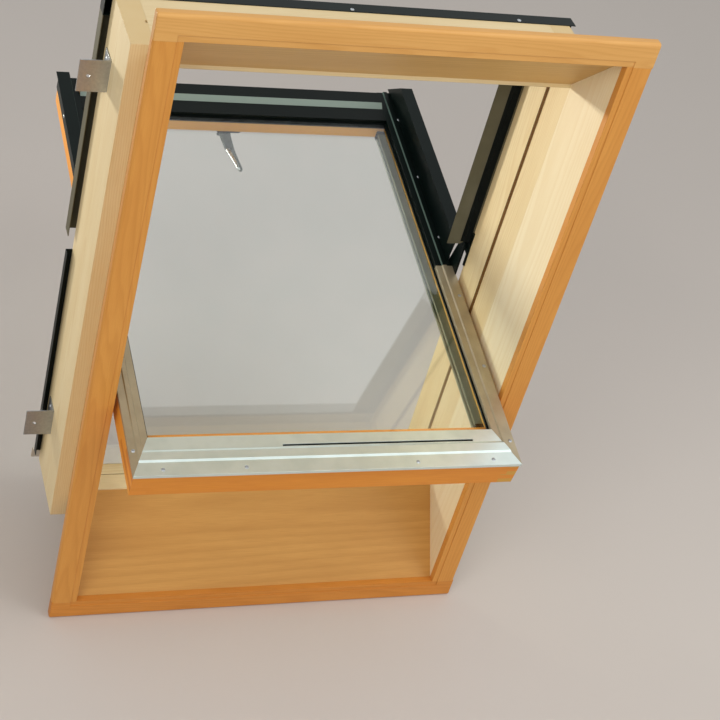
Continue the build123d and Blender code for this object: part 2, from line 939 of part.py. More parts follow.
def top_cladding():
    """Silver cladding of the top rail with its vent slot, mitred at both ends."""
    path = [(lip_y, lip_top_z)]
    path.extend((y, z) for z, y in face_profile(sash_top, top_lip_w))
    path.append((face_y, sash_top + cladding_t))
    path.append((face_y - cladding_leg, sash_top + cladding_t))
    outer_x = sash_x + cladding_t
    piece = section_along_x(sheet(path, cladding_t, 1), -outer_x, outer_x)
    slot_z = sash_top - vent_slot_in
    slot = block(
        (vent_slot_x - vent_slot_w / 2, vent_slot_x + vent_slot_w / 2),
        (wood_y, face_y),
        (slot_z - vent_slot_h / 2, slot_z + vent_slot_h / 2),
    )
    return (piece & mitre_wedge(0)) - slot - group(top_cladding_screws())


def top_cladding_screws():
    """Two screws towards each end of the top cladding."""
    z = sash_top - top_screw_in
    end = sash_x - top_screw_side
    row = [side * x for side in (-1, 1) for x in (end, end - top_screw_step)]
    return [screw_along_y(x, face_y, z, -1) for x in row]


def vent_strip():
    """Dark vent strip let into the top rail behind the slot of its cladding."""
    slot_z = sash_top - vent_slot_in
    half = vent_slot_h / 2 + vent_strip_over
    return block(
        (vent_slot_x - vent_slot_w / 2 - vent_strip_over, vent_slot_x + vent_slot_w / 2 + vent_strip_over),
        (wood_y - vent_strip_t, wood_y),
        (slot_z - half, slot_z + half),
    )


def bottom_cladding():
    """Dark cladding of the bottom rail: a flat, a slope up to a raised cap and an end leg."""
    flat_z = lip_bottom_z - cap_flat_w
    cap_y = face_y + cap_h
    path = [
        (lip_y, lip_bottom_z),
        (face_y, lip_bottom_z),
        (face_y, flat_z),
        (cap_y, flat_z - cap_slope_w),
        (cap_y, cap_end_z + cap_nose),
        (face_y - cladding_t, cap_end_z),
        (face_y - cap_end_leg, cap_end_z),
    ]
    half = lip_x - mitre_gap
    return section_along_x(sheet(path, cladding_t, -1), -half, half)


def side_cover(side):
    """Raised dark cover on the lower half of the sash, reaching over the frame stile.

    Its foot is bent around the edge of the sash stile and ends clear of the pivot arm, and
    its far end is cut off at a slant.
    """
    foot_x = sash_x + side_cover_t
    foot_y = face_y + side_cover_t
    foot_low_y = face_y - side_cover_foot
    wall_x = sash_x - side_cover_in
    high_y = side_cover_y + side_cover_t
    end_z = cap_end_z - side_cover_past
    path = [
        (sash_x, foot_low_y),
        (sash_x, face_y),
        (wall_x, face_y),
        (wall_x, high_y),
        (sash_x + side_cover_reach, high_y),
    ]
    cover = section_along_z(sheet(path, side_cover_t, -1), end_z, -side_cover_start)
    end_cut = [
        (foot_low_y, cap_end_z),
        (face_y, cap_end_z),
        (face_y, end_z),
        (high_y, end_z + side_cover_end_cut),
        (high_y + side_cover_t, end_z + side_cover_end_cut),
        (high_y + side_cover_t, end_z - side_cover_t),
        (foot_low_y, end_z - side_cover_t),
    ]
    cover = cover - section_along_x(end_cut, wall_x, half_open + side_cover_reach)
    arm_room = block(
        (sash_x - mitre_gap, foot_x),
        (foot_low_y, foot_y),
        (-arm_half_w - pivot_notch, -side_cover_start),
    )
    cover = cover - arm_room - group(side_cover_screws())
    return cover if side > 0 else mirrored(cover)


def side_cover_screws():
    """Screws through the foot of the right raised cover into the stile."""
    x = sash_x + side_cover_t
    y = face_y - side_cover_foot / 2
    row = spread(cap_end_z + side_cover_screw_far, -side_cover_start - side_cover_screw_near)
    return [screw_along_x(x, y, z, -1) for z in row]


def pivot_arm(side):
    """Steel arm on the side of the sash, reaching out to the eye around the pivot pin."""
    low_y = face_y - arm_foot_inset - arm_foot_depth
    high_y = face_y - arm_foot_inset
    outline = [
        (low_y, -arm_half_w),
        (high_y, -arm_half_w),
        (pivot_y, -eye_r),
        (pivot_y, eye_r),
        (high_y, arm_half_w),
        (low_y, arm_half_w),
    ]
    arm = section_along_x(outline, sash_x, arm_x) + rod_x(sash_x, arm_x, pivot_y, 0, eye_r)
    arm = arm + rod_x(arm_x, plate_x - hinge_gap, pivot_y, 0, arm_boss_r)
    arm = arm - rod_x(sash_x, plate_x, pivot_y, 0, pin_r + pin_running_gap)
    arm = arm - group(arm_screws())
    return arm if side > 0 else mirrored(arm)


def arm_screws():
    """Screws that hold the right arm to the sash stile."""
    low_y = face_y - arm_foot_inset - arm_foot_depth + arm_screw_in
    high_y = face_y - arm_foot_inset - arm_screw_in
    half = arm_half_w - arm_screw_in
    return [screw_along_x(arm_x, y, z, -1) for y in (low_y, high_y) for z in (-half, half)]


# Guide rails for a blind

def guide_rail(side):
    """Aluminium channel on the inner face of the sash stile, open towards the other side."""
    y = (ledge_y - rail_set - rail_t, ledge_y - rail_set)
    x = (stile_in_x - rail_w, stile_in_x)
    z = (bottom_in_z + rail_end_gap + rail_cap_len, top_in_z - rail_end_gap - rail_cap_len)
    middle = (y[0] + y[1]) / 2
    rail = block(x, y, z)
    rail = rail - block((x[0] + rail_wall, x[1] - rail_wall), (y[0] + rail_wall, y[1] - rail_wall), z)
    rail = rail - block((x[0], x[0] + rail_wall), (middle - rail_slot / 2, middle + rail_slot / 2), z)
    return rail if side > 0 else mirrored(rail)


def rail_caps():
    """Dark end caps of both guide rails."""
    caps = []
    y = (ledge_y - rail_set - rail_t - rail_cap_proud, ledge_y - rail_set + rail_cap_proud)
    x = (stile_in_x - rail_w - rail_cap_proud, stile_in_x)
    low = bottom_in_z + rail_end_gap
    high = top_in_z - rail_end_gap
    for z in ((low, low + rail_cap_len), (high - rail_cap_len, high)):
        cap = block(x, y, z)
        caps.extend([cap, mirrored(cap)])
    return group(caps)


# Handle and lock

def handle_base():
    """Dark square base of the handle on the room face of the bottom rail."""
    half = handle_plate_w / 2
    y = (back_y - handle_plate_t, back_y)
    base = block((handle_x - half, handle_x + half), y, (spindle_z - half, spindle_z + half))
    corners = base.edges().filter_by(Axis.Y)
    base = fillet(corners, handle_corner_r)
    base = chamfer(base.faces().sort_by(Axis.Y)[0].edges(), handle_edge)
    return base - rod_y(handle_x, back_y - handle_plate_t, back_y, spindle_z, spindle_r + spindle_gap)


def handle_lever():
    """Cranked lever: a round neck, and a tapering grip that leans aside and dips back to the glass."""
    seat_y = back_y - handle_plate_t - neck_gap
    out_y = seat_y - neck_h
    waist_z = spindle_z + lever_waist
    tip_z = spindle_z + lever_len
    side_view = [
        (out_y, spindle_z - lever_root_w / 2),
        (out_y, waist_z),
        (out_y + lever_dip, tip_z),
        (out_y + lever_dip - lever_t, tip_z),
        (out_y - lever_t, waist_z),
        (out_y - lever_t, spindle_z - lever_root_w / 2),
    ]
    slab = section_along_x(side_view, handle_x - lever_root_w, handle_x + lever_root_w)
    waist_x = handle_x + lever_lean * lever_waist / lever_len
    tip_x = handle_x + lever_lean
    plan = [
        (handle_x - lever_root_w / 2, spindle_z),
        (waist_x - lever_waist_w / 2, waist_z),
        (tip_x - lever_tip_w / 2, tip_z - lever_tip_w / 2),
        (tip_x + lever_tip_w / 2, tip_z - lever_tip_w / 2),
        (waist_x + lever_waist_w / 2, waist_z),
        (handle_x + lever_root_w / 2, spindle_z),
    ]
    face = Plane.XZ * make_face(Polyline(*plan, close=True))
    high_y = out_y + lever_dip
    low_y = out_y - lever_t
    outline = Pos(0, high_y, 0) * extrude(face, high_y - low_y)
    outline = outline + rod_y(handle_x, high_y, low_y, spindle_z, lever_root_w / 2)
    outline = outline + rod_y(tip_x, high_y, low_y, tip_z - lever_tip_w / 2, lever_tip_w / 2)
    grip = slab & outline
    lever = grip + rod_y(handle_x, seat_y, out_y, spindle_z, neck_r)
    return lever - rod_y(handle_x, seat_y, out_y - spindle_in_lever, spindle_z, spindle_r)


def handle_spindle():
    """Spindle from the lever through the base to the pinion of the lock."""
    far_y = back_y - handle_plate_t - neck_gap - neck_h - spindle_in_lever
    return rod_y(handle_x, far_y, lock_y + pinion_t / 2 + spindle_past, spindle_z, spindle_r)


def lock_pinion():
    """Pinion on the spindle, drawn at its rolling radius."""
    wheel = rod_y(handle_x, lock_y - pinion_t / 2, lock_y + pinion_t / 2, spindle_z, pinion_r - rack_gap)
    return wheel - rod_y(handle_x, lock_y - pinion_t / 2, lock_y + pinion_t / 2, spindle_z, spindle_r)


def case_blank():
    """Pocket of the lock case in the bottom rail."""
    return block(
        (handle_x - case_w / 2, handle_x + case_w / 2),
        (lock_y - case_t / 2, lock_y + case_t / 2),
        (bar_top_z + lock_bar_gap, spindle_z + pinion_r + case_wall + lock_bar_gap),
    )


def lock_case():
    """Steel case around the pinion and rack, open towards the lock bar."""
    case = case_blank()
    room = block(
        (handle_x - case_w / 2 + case_wall, handle_x + case_w / 2 - case_wall),
        (lock_y - case_t / 2 + case_wall, lock_y + case_t / 2 - case_wall),
        (bar_top_z, spindle_z + pinion_r + lock_bar_gap),
    )
    return case - room - rod_y(handle_x, back_y, lock_y + case_t / 2, spindle_z, spindle_r + spindle_gap)


def lock_bar():
    """Lock bar with its rack plate and two mushroom cams, in the end of the bottom rail."""
    bar = block(
        (-lock_bar_len / 2, lock_bar_len / 2),
        (lock_y - lock_bar_w / 2, lock_y + lock_bar_w / 2),
        (bar_top_z - lock_bar_t, bar_top_z),
    )
    rack = block(
        (handle_x - rack_w / 2, handle_x + rack_w / 2),
        (lock_y - rack_t / 2, lock_y + rack_t / 2),
        (bar_top_z, spindle_z - pinion_r),
    )
    bar = bar + rack
    for x in (-cam_x, cam_x):
        tip_z = -sash_bottom - cam_reach
        bar = bar + rod_z(x, lock_y, bar_top_z - lock_bar_t, tip_z, cam_r)
        bar = bar + rod_z(x, lock_y, tip_z, tip_z + cam_head_t, cam_head_r)
    return bar


def faceplate_blank():
    """Outline of the faceplate and of its seat in the bottom rail."""
    reach = lock_bar_len / 2 + faceplate_over
    return block(
        (-reach, reach),
        (lock_y - faceplate_w / 2, lock_y + faceplate_w / 2),
        (-sash_bottom, -sash_bottom + faceplate_t),
    )


def lock_faceplate():
    """Steel faceplate over the lock bar, with a slot for each cam."""
    plate = faceplate_blank()
    half = cam_r + cam_slot_gap
    for x in (-cam_x, cam_x):
        slot = block(
            (x - lock_travel - half, x + half),
            (lock_y - half, lock_y + half),
            (-sash_bottom, -sash_bottom + faceplate_t),
        )
        plate = plate - slot
    return plate


def keepers():
    """Two keepers on the sill seat, behind which the cams slide when the handle is turned."""
    pieces = []
    for x in (-cam_x, cam_x):
        middle = x - lock_travel
        span = (middle - keeper_w / 2, middle + keeper_w / 2)
        lip = block(span, (keeper_y, keeper_y + keeper_t), (sill_seat_z, -sash_bottom - keeper_top_gap))
        foot = block(span, (keeper_y, keeper_y + keeper_foot), (sill_seat_z, sill_seat_z + keeper_t))
        pieces.append(lip + foot - group(keeper_screws()))
    return group(pieces)


def keeper_screws():
    """One screw through the foot of each keeper, halfway between its lip and its end."""
    y = keeper_y + (keeper_t + keeper_foot) / 2
    return [screw_along_z(x - lock_travel, y, sill_seat_z + keeper_t, -1) for x in (-cam_x, cam_x)]


def frame_screws():
    """Screws of the brackets, hinge plates, covers and keepers, all of one size."""
    right = bracket_screws() + plate_screws() + stile_cover_screws()
    left = [mirrored(screw) for screw in right]
    return group(right + left + hood_screws() + sill_cover_screws() + keeper_screws())


def sash_screws():
    """Screws of the pivot arms, claddings and raised covers, all of one size."""
    right = arm_screws() + side_cladding_screws() + side_cover_screws()
    left = [mirrored(screw) for screw in right]
    return group(right + left + top_cladding_screws())


def frame_nodes():
    """Pieces that stay fixed in the roof."""
    nodes = {
        "casing_head": casing_across(casing_head_z, casing_head_w, 1),
        "casing_sill": casing_across(casing_sill_z, casing_sill_w, -1),
        "lining_head": lining_head(),
        "lining_sill": lining_sill(),
        "frame_head": frame_head(),
        "frame_sill": frame_sill(),
        "sill_gasket": sill_gasket(),
        "head_hood": head_hood(),
        "sill_cover": sill_cover(),
        "lock_keepers": keepers(),
        "fixing_brackets": group([bracket(side, end) for side in (-1, 1) for end in (-1, 1)]),
        "frame_screws": frame_screws(),
    }
    for side, name in ((-1, "left"), (1, "right")):
        nodes["casing_" + name] = casing_side(side)
        nodes["lining_" + name] = lining_side(side)
        nodes["frame_stile_" + name] = frame_stile(side)
        nodes["stile_gasket_" + name] = stile_gasket(side)
        nodes["hinge_plate_" + name] = hinge_plate(side)
        nodes["upper_side_cover_" + name] = upper_cover(side)
        nodes["cover_seal_" + name] = cover_seal(side)
        nodes["lower_side_cover_" + name] = lower_cover(side)
    return nodes


def sash_nodes():
    """Pieces that turn with the sash, drawn closed."""
    nodes = {
        "sash_top_rail": sash_top_rail(),
        "sash_bottom_rail": sash_bottom_rail(),
        "outer_pane": glass_pane(glass_y - pane_t),
        "inner_pane": glass_pane(glass_back_y),
        "glass_spacer": glass_spacer(),
        "glazing_tape": glazing_tape(),
        "glazing_gasket": lip_gasket(),
        "top_cladding": top_cladding(),
        "vent_strip": vent_strip(),
        "bottom_cladding": bottom_cladding(),
        "guide_rail_caps": rail_caps(),
        "handle_base": handle_base(),
        "lock_case": lock_case(),
        "lock_faceplate": lock_faceplate(),
        "sash_screws": sash_screws(),
        "handle_lever": handle_lever(),
        "handle_spindle": handle_spindle(),
        "lock_pinion": lock_pinion(),
        "lock_bar": lock_bar(),
    }
    for side, name in ((-1, "left"), (1, "right")):
        nodes["sash_stile_" + name] = sash_stile(side)
        nodes["upper_side_cladding_" + name] = upper_side_cladding(side)
        nodes["lower_side_cladding_" + name] = lower_side_cladding(side)
        nodes["raised_side_cover_" + name] = side_cover(side)
        nodes["pivot_arm_" + name] = pivot_arm(side)
        nodes["guide_rail_" + name] = guide_rail(side)
    return nodes


os.makedirs("parts", exist_ok=True)
for node, shape in frame_nodes().items():
    export_step(shape, "parts/" + node + ".step")
for node, shape in sash_nodes().items():
    export_step(turned(shape), "parts/" + node + ".step")
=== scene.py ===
# %% [markdown]
# # A roof skylight, dressed for its portrait
# The window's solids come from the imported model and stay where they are. This notebook gives
# every surface the finish that a window maker would give it, adds the small pieces that are
# easier to shape here, and then sets the light and the camera.

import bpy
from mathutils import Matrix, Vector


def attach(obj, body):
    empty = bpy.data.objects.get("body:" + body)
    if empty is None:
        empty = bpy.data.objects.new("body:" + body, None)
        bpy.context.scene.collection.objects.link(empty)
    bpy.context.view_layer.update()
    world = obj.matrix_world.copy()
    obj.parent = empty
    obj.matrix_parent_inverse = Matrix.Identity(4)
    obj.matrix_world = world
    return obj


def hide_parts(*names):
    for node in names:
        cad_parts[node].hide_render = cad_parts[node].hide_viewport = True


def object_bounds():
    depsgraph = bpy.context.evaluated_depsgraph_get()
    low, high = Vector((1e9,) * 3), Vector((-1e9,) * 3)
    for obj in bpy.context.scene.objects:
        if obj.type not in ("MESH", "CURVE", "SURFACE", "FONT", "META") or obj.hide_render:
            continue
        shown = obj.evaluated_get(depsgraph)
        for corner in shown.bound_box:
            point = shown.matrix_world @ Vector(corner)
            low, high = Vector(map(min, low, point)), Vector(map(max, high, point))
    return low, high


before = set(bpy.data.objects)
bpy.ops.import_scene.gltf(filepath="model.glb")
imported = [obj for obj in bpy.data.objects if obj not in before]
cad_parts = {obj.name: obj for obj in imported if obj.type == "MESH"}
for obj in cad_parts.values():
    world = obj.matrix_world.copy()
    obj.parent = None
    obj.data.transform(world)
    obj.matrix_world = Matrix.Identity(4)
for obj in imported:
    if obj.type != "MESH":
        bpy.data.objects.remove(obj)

# %% [markdown]
# The box of the bare solids is kept now. The floor is placed just below it.

# %% Keep the size of the bare model
import math

import bpy
import bmesh
import numpy as np
from mathutils import Matrix, Vector

bare_box = [list(corner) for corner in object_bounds()]
print("bare model, low and high corner in metres:", bare_box)

# %% [markdown]
# Colours are easiest to judge as the hex codes that a paint maker prints. A renderer wants
# light values instead, so one function turns the one into the other. Its numbers are those
# of the sRGB standard: a straight start, and then a power of 2.4.

# %% Colour helper


def hex_light(code):
    """Turns an sRGB hex code such as C98A45 into linear light values, with full opacity."""
    channels = []
    for start in (0, 2, 4):
        value = int(code[start:start + 2], 16) / 255
        channels.append(value / 12.92 if value <= 0.04045 else ((value + 0.055) / 1.055) ** 2.4)
    return (*channels, 1.0)


print("mid grey, 808080, is this much light:", round(hex_light("808080")[0], 3))

# %% [markdown]
# Every material here is a small graph of nodes. Adding a node always takes the same three
# steps: make it, set its options, and connect or fill its inputs. One helper does all three
# for any kind of node. An input takes a number, a hex colour, the output of another node, or
# the node itself, which then gives its first output.

# %% Node helper
SHARE, COLOUR_A, COLOUR_B, MIXED = 0, 6, 7, 2      # sockets of a Mix node that mixes colours
EDGE_SAMPLES = 6                                   # rays that a Bevel node uses to round an edge


def add(tree, kind, inputs=None, **options):
    """Adds one shader node with its options, values and links."""
    made = tree.nodes.new("ShaderNode" + kind)
    for option, value in options.items():
        setattr(made, option, value)
    for socket, value in (inputs or {}).items():
        if isinstance(value, bpy.types.Node):
            value = value.outputs[0]
        if isinstance(value, str):
            value = hex_light(value)
        if isinstance(value, bpy.types.NodeSocket):
            tree.links.new(value, made.inputs[socket])
        else:
            made.inputs[socket].default_value = value
    return made


def new_material(name):
    """Returns an empty material and its node tree."""
    material = bpy.data.materials.new(name)
    material.use_nodes = True
    material.node_tree.nodes.clear()
    return material, material.node_tree


# %% [markdown]
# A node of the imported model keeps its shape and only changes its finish. One helper puts a
# material in all of its slots, and keeps a list of what has been finished so far.

# %% Finishing helper
finished = set()


def finish(material, *nodes):
    """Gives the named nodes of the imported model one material."""
    for node in nodes:
        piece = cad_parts[node]
        for slot in piece.material_slots:
            slot.material = material
        if not piece.material_slots:
            piece.data.materials.append(material)
        finished.add(node)
    print(material.name, "is on", ", ".join(nodes))


# %% [markdown]
# ## Wood
# The boards are pine. A picture of a board could be wrapped around each of them, but it would
# repeat from board to board and smear on the ends. A board is a slice of a tree trunk, so the
# trunk is drawn instead, as a texture that fills space, and the board cuts through it.
#
# For that, each piece needs to know which way its grain runs. These are the turns that bring
# the grain upright. The sash is kept turned by 99 degrees, and its members turn with it.

# %% Directions of the grain
TURNED = math.radians(99)                   # how far the sash is turned from closed
ALONG_Z = (0.0, 0.0, 0.0)                   # grain up the window
ALONG_X = (0.0, -math.pi / 2, 0.0)          # grain across the window
SASH_STILE = (-TURNED, 0.0, 0.0)            # grain up the turned sash
SASH_RAIL = (-TURNED, -math.pi / 2, 0.0)    # grain across the turned sash
print("the sash is kept turned by", round(math.degrees(TURNED)), "degrees")

# %% [markdown]
# The figure of a board is where the growth rings meet its face: near the middle of a
# flat-sawn board they meet it at a shallow angle and draw long arches. So rings a few
# millimetres apart are wrapped around a pith that lies behind the board and is tilted by
# about a degree, and the arches come by themselves. Each board gets its own pith, so no two
# boards match. A ring starts pale in spring and ends dark in autumn, and then starts again.

# %% Growth rings
WAVE_LENGTH = 0.314      # a wave texture of scale 1 repeats after this length
RING_DRIFT = 0.1         # the rings waver ten times more slowly along the grain than across it


def growth_rings(tree, board, early, late, pith_mm, ring_mm, tilt_deg):
    """The colour of the growth rings. pith_mm is a point on the pith, with Z along the grain."""
    pith = add(tree, "Mapping", {
        "Vector": board,
        "Location": [-value / 1000 for value in pith_mm],
        "Rotation": [math.radians(value) for value in (*tilt_deg, 0)],
    })
    trunk = add(tree, "VectorMath", {0: pith, 1: (1, 1, RING_DRIFT)}, operation="MULTIPLY")
    rings = add(tree, "TexWave", {
        "Vector": trunk,
        "Scale": WAVE_LENGTH / (ring_mm / 1000),
        "Distortion": 13.0,
        "Detail": 2.0,
        "Detail Scale": 0.22,
        "Detail Roughness": 0.55,
    }, wave_type="RINGS", rings_direction="Z", wave_profile="SAW")
    bands = add(tree, "ValToRGB", {"Fac": rings.outputs["Fac"]})
    stops = bands.color_ramp.elements
    stops[1].position = 0.92
    for stop in stops:
        stop.color = hex_light(late)
    for position in (0.14, 0.5):
        stops.new(position).color = hex_light(early)
    return bands


# %% [markdown]
# Three more things darken pine, each by its own share. The fibres are under a tenth of a
# millimetre wide, and bundles of 0.9 mm are drawn so that they show. The tone drifts over a
# few centimetres, because a board takes lacquer unevenly. And where a board is cut across,
# its open pores drink more lacquer: there the surface faces along the grain, so its normal
# tells. The satin lacquer over it all leaves the fibres just felt, and rounded edges.

# %% Lacquered pine
FIBRE_BUNDLE, FIBRE_STRETCH = 0.0009, 0.02      # width, and width for each unit of length
TONE_PATCH, TONE_STRETCH = 0.04, 0.12           # the same for the drift of the tone


def lacquered_pine(name, early, late, grain, pith_mm, ring_mm, tilt_deg=(1.1, 0.7), figure=0.32):
    """Pine under satin lacquer. figure is how strongly the growth rings show."""
    material, tree = new_material(name)
    spot = add(tree, "TexCoord")
    board = add(tree, "Mapping", {"Vector": spot.outputs["Object"], "Rotation": grain})
    facing = add(tree, "Mapping", {"Vector": spot.outputs["Normal"], "Rotation": grain})
    rings = growth_rings(tree, board, early, late, pith_mm, ring_mm, tilt_deg)

    strands = add(tree, "VectorMath", {0: board, 1: (1, 1, FIBRE_STRETCH)}, operation="MULTIPLY")
    fibres = add(tree, "TexNoise", {"Vector": strands, "Scale": 1 / FIBRE_BUNDLE, "Detail": 3.0})
    fibre = fibres.outputs["Fac"]
    drift = add(tree, "VectorMath", {0: board, 1: (1, 1, TONE_STRETCH)}, operation="MULTIPLY")
    tones = add(tree, "TexNoise", {"Vector": drift, "Scale": 1 / TONE_PATCH, "Detail": 2.0})
    faced = add(tree, "SeparateXYZ", {0: facing}).outputs["Z"]
    end_grain = add(tree, "Math", {0: faced}, operation="ABSOLUTE")

    layer = add(tree, "Mix", {SHARE: figure, COLOUR_A: early, COLOUR_B: rings}, data_type="RGBA")
    for signal, starts, is_full, most in (
        (fibre, 0.42, 0.75, 0.35),
        (tones.outputs["Fac"], 0.35, 0.7, 0.3),
        (end_grain, 0.6, 0.9, 0.55),
    ):
        share = add(tree, "MapRange", {
            "Value": signal, "From Min": starts, "From Max": is_full, "To Max": most,
        })
        below = layer.outputs[MIXED]
        layer = add(tree, "Mix", {SHARE: share, COLOUR_A: below, COLOUR_B: late}, data_type="RGBA")

    sanded = add(tree, "Bevel", {"Radius": 0.0012}, samples=EDGE_SAMPLES)
    felt = add(tree, "Bump", {
        "Strength": 0.12, "Distance": 0.0003, "Height": fibre, "Normal": sanded,
    })
    satin = add(tree, "MapRange", {"Value": fibre, "To Min": 0.38, "To Max": 0.5})
    pine = add(tree, "BsdfPrincipled", {
        "Base Color": layer.outputs[MIXED],
        "Roughness": satin,
        "Normal": felt,
        "IOR": 1.5,
        "Specular IOR Level": 0.35,
    })
    add(tree, "OutputMaterial", {"Surface": pine})
    return material


def finish_boards(*boards):
    """Finishes boards, each given by its node, its two colours and how it was cut."""
    for node, colours, *cut in boards:
        finish(lacquered_pine("lacquered_pine_" + node, *colours, *cut), node)


# %% [markdown]
# The casing is the frame of flat boards that the room sees. It has the warmest colour, since
# its lacquer is tinted. Its head catches more light than its sill, so the head's colours are
# painted lighter, as painted light, and the sill's darker, as painted shade.
#
# A pair of colours gives the early and the late wood. After the grain come a point on the
# pith and the width of a ring, both in millimetres, and for some boards also the tilt of the
# pith in degrees and how strongly the rings show.

# %% Casing
# The head's pair holds painted light and the sill's pair holds painted shade.
HEAD_CASING_PAINTED_LIGHT = ("E3AC62", "CB8F45")
SIDE_CASING = ("DE9B48", "C68033")
SILL_CASING_PAINTED_SHADE = ("D98F3C", "BC7227")

finish_boards(
    ("casing_left", SIDE_CASING, ALONG_Z, (-470, -190, 0), 3.4),
    ("casing_right", SIDE_CASING, ALONG_Z, (490, -180, 0), 3.1),
    ("casing_head", HEAD_CASING_PAINTED_LIGHT, ALONG_X, (-700, -190, 0), 3.2),
    ("casing_sill", SILL_CASING_PAINTED_SHADE, ALONG_X, (780, -190, 0), 3.4),
)

# %% [markdown]
# The lining runs from the casing back to the window. It could be cut like the casing, but
# its boards are wide and were sawn flat, which gives them a broad and quiet figure. So their
# rings are two to five times as wide, and the sill board lies nearly in the plane of a ring.

# %% Lining
# The right-hand pair is paler, as painted daylight falling on that board through the opening, and
# the sill pair is darker, as painted shade.
LINING = ("D9AE68", "BC8A45")
RIGHT_LINING_PAINTED_DAYLIGHT = ("F8E9C6", "EAD3A2")
SILL_LINING_PAINTED_SHADE = ("D19B51", "AE7632")

finish_boards(
    ("lining_left", LINING, ALONG_Z, (-540, -200, 0), 7.0, (1.1, 0.7), 0.35),
    ("lining_right", RIGHT_LINING_PAINTED_DAYLIGHT, ALONG_Z, (560, -160, 0), 6.0, (1.1, 0.7), 0.35),
    ("lining_head", LINING, ALONG_X, (-760, -150, 0), 6.0, (1.1, 0.7), 0.3),
    ("lining_sill", SILL_LINING_PAINTED_SHADE, ALONG_X, (648, -78, -150), 15.0, (0.7, 1.5), 0.2),
)

# %% [markdown]
# The window's own frame is cut from clear pale stock, with narrow rings, because slow-grown
# wood moves less and keeps the seals tight. Its lacquer isn't tinted.

# %% Frame of the window
FRAME_WOOD = ("F1DDB0", "DAB97C")

finish_boards(
    ("frame_stile_left", FRAME_WOOD, ALONG_Z, (-520, -30, 0), 3.0),
    ("frame_stile_right", FRAME_WOOD, ALONG_Z, (525, -20, 0), 3.2),
    ("frame_head", FRAME_WOOD, ALONG_X, (-640, -20, 0), 3.0),
    ("frame_sill", FRAME_WOOD, ALONG_X, (660, -20, 0), 3.1),
)

# %% [markdown]
# The sash is made of four members with comb joints at the corners. The grain of its stiles
# runs up the sash and that of its rails runs across it, so at each corner the fingers show
# long grain and end grain by turns. They could be painted on as a pattern. Here nothing is:
# it follows from the grain's direction in each member, which is turned with the sash.

# %% Members of the sash
# The members have their own colours, painted as light falls on them: the right stile and the bottom
# rail are paler with painted daylight, the left stile is brightened with painted light, and the top
# rail's late wood is deeper with painted shade.
LEFT_SASH_WOOD_PAINTED_LIGHT = ("F4A63A", "DA822A")
RIGHT_SASH_WOOD_PAINTED_DAYLIGHT = ("E6B455", "C88F35")
TOP_SASH_WOOD_PAINTED_SHADE = ("EC9A34", "C4691A")
BOTTOM_SASH_WOOD_PAINTED_DAYLIGHT = ("EEAC48", "D18B2E")

finish_boards(
    ("sash_stile_left", LEFT_SASH_WOOD_PAINTED_LIGHT, SASH_STILE, (-372, 60, 0), 2.8),
    ("sash_stile_right", RIGHT_SASH_WOOD_PAINTED_DAYLIGHT, SASH_STILE, (368, 65, 0), 2.9),
    ("sash_top_rail", TOP_SASH_WOOD_PAINTED_SHADE, SASH_RAIL, (-500, 55, 0), 2.7),
    ("sash_bottom_rail", BOTTOM_SASH_WOOD_PAINTED_DAYLIGHT, SASH_RAIL, (530, 60, 0), 2.8),
)

# %% [markdown]
# ## Metal
# The outside of the window is covered with thin aluminium, stoved with a nearly black paint.
# A flat black would look like a hole. A stoved coat is smooth but never quite flat: it has a
# shallow orange peel, about a millimetre from crest to crest, which breaks up reflections,
# and some dust lies on it.
#
# On the profiles of the sash the sloping faces are painted brighter than the flats, a painted
# highlight where the coat catches the sky. The normal picks them out: on a flat it points
# straight out of the sash, on a slope it leans, and on the side of a profile it lies across.

# %% Stoved paint on aluminium
DUST_PATCH = 0.06
ORANGE_PEEL = 0.0012


def stoved_paint(name, body, dust, rough=0.34, slope_highlight=None):
    """Stoved paint with orange peel, a breath of dust and, if given, a painted highlight on slopes.
    """
    material, tree = new_material(name)
    spot = add(tree, "TexCoord")
    where = spot.outputs["Object"]
    cloud = add(tree, "TexNoise", {"Vector": where, "Scale": 1 / DUST_PATCH, "Detail": 5.0})
    dusty = add(tree, "MapRange", {
        "Value": cloud.outputs["Fac"], "From Min": 0.45, "From Max": 0.75, "To Max": 0.5,
    })
    coat = add(tree, "Mix", {SHARE: dusty, COLOUR_A: body, COLOUR_B: dust}, data_type="RGBA")
    # The slopes get a paler colour, a painted highlight where the coat catches the sky.
    if slope_highlight:
        facing = add(tree, "Mapping", {"Vector": spot.outputs["Normal"], "Rotation": SASH_STILE})
        faced = add(tree, "SeparateXYZ", {0: facing}).outputs["Y"]
        outward = add(tree, "Math", {0: faced}, operation="ABSOLUTE")
        off_flat = add(tree, "MapRange", {
            "Value": outward, "From Min": 0.9, "From Max": 0.96, "To Min": 1.0, "To Max": 0.0,
        })
        off_side = add(tree, "MapRange", {"Value": outward, "From Min": 0.2, "From Max": 0.3})
        share = add(tree, "Math", {0: off_flat, 1: off_side}, operation="MULTIPLY")
        below = coat.outputs[MIXED]
        coat = add(tree, "Mix", {SHARE: share, COLOUR_A: below, COLOUR_B: slope_highlight}, data_type="RGBA")

    peel = add(tree, "TexNoise", {"Vector": where, "Scale": 1 / ORANGE_PEEL, "Detail": 1.0})
    folded = add(tree, "Bevel", {"Radius": 0.0007}, samples=EDGE_SAMPLES)
    bump = add(tree, "Bump", {
        "Strength": 0.25, "Distance": 0.00005, "Height": peel.outputs["Fac"], "Normal": folded,
    })
    gloss = add(tree, "MapRange", {
        "Value": cloud.outputs["Fac"], "To Min": rough - 0.05, "To Max": rough + 0.12,
    })
    paint = add(tree, "BsdfPrincipled", {
        "Base Color": coat.outputs[MIXED],
        "Roughness": gloss,
        "Normal": bump,
        "IOR": 1.5,
        "Specular IOR Level": 0.12,
    })
    add(tree, "OutputMaterial", {"Surface": paint})
    return material
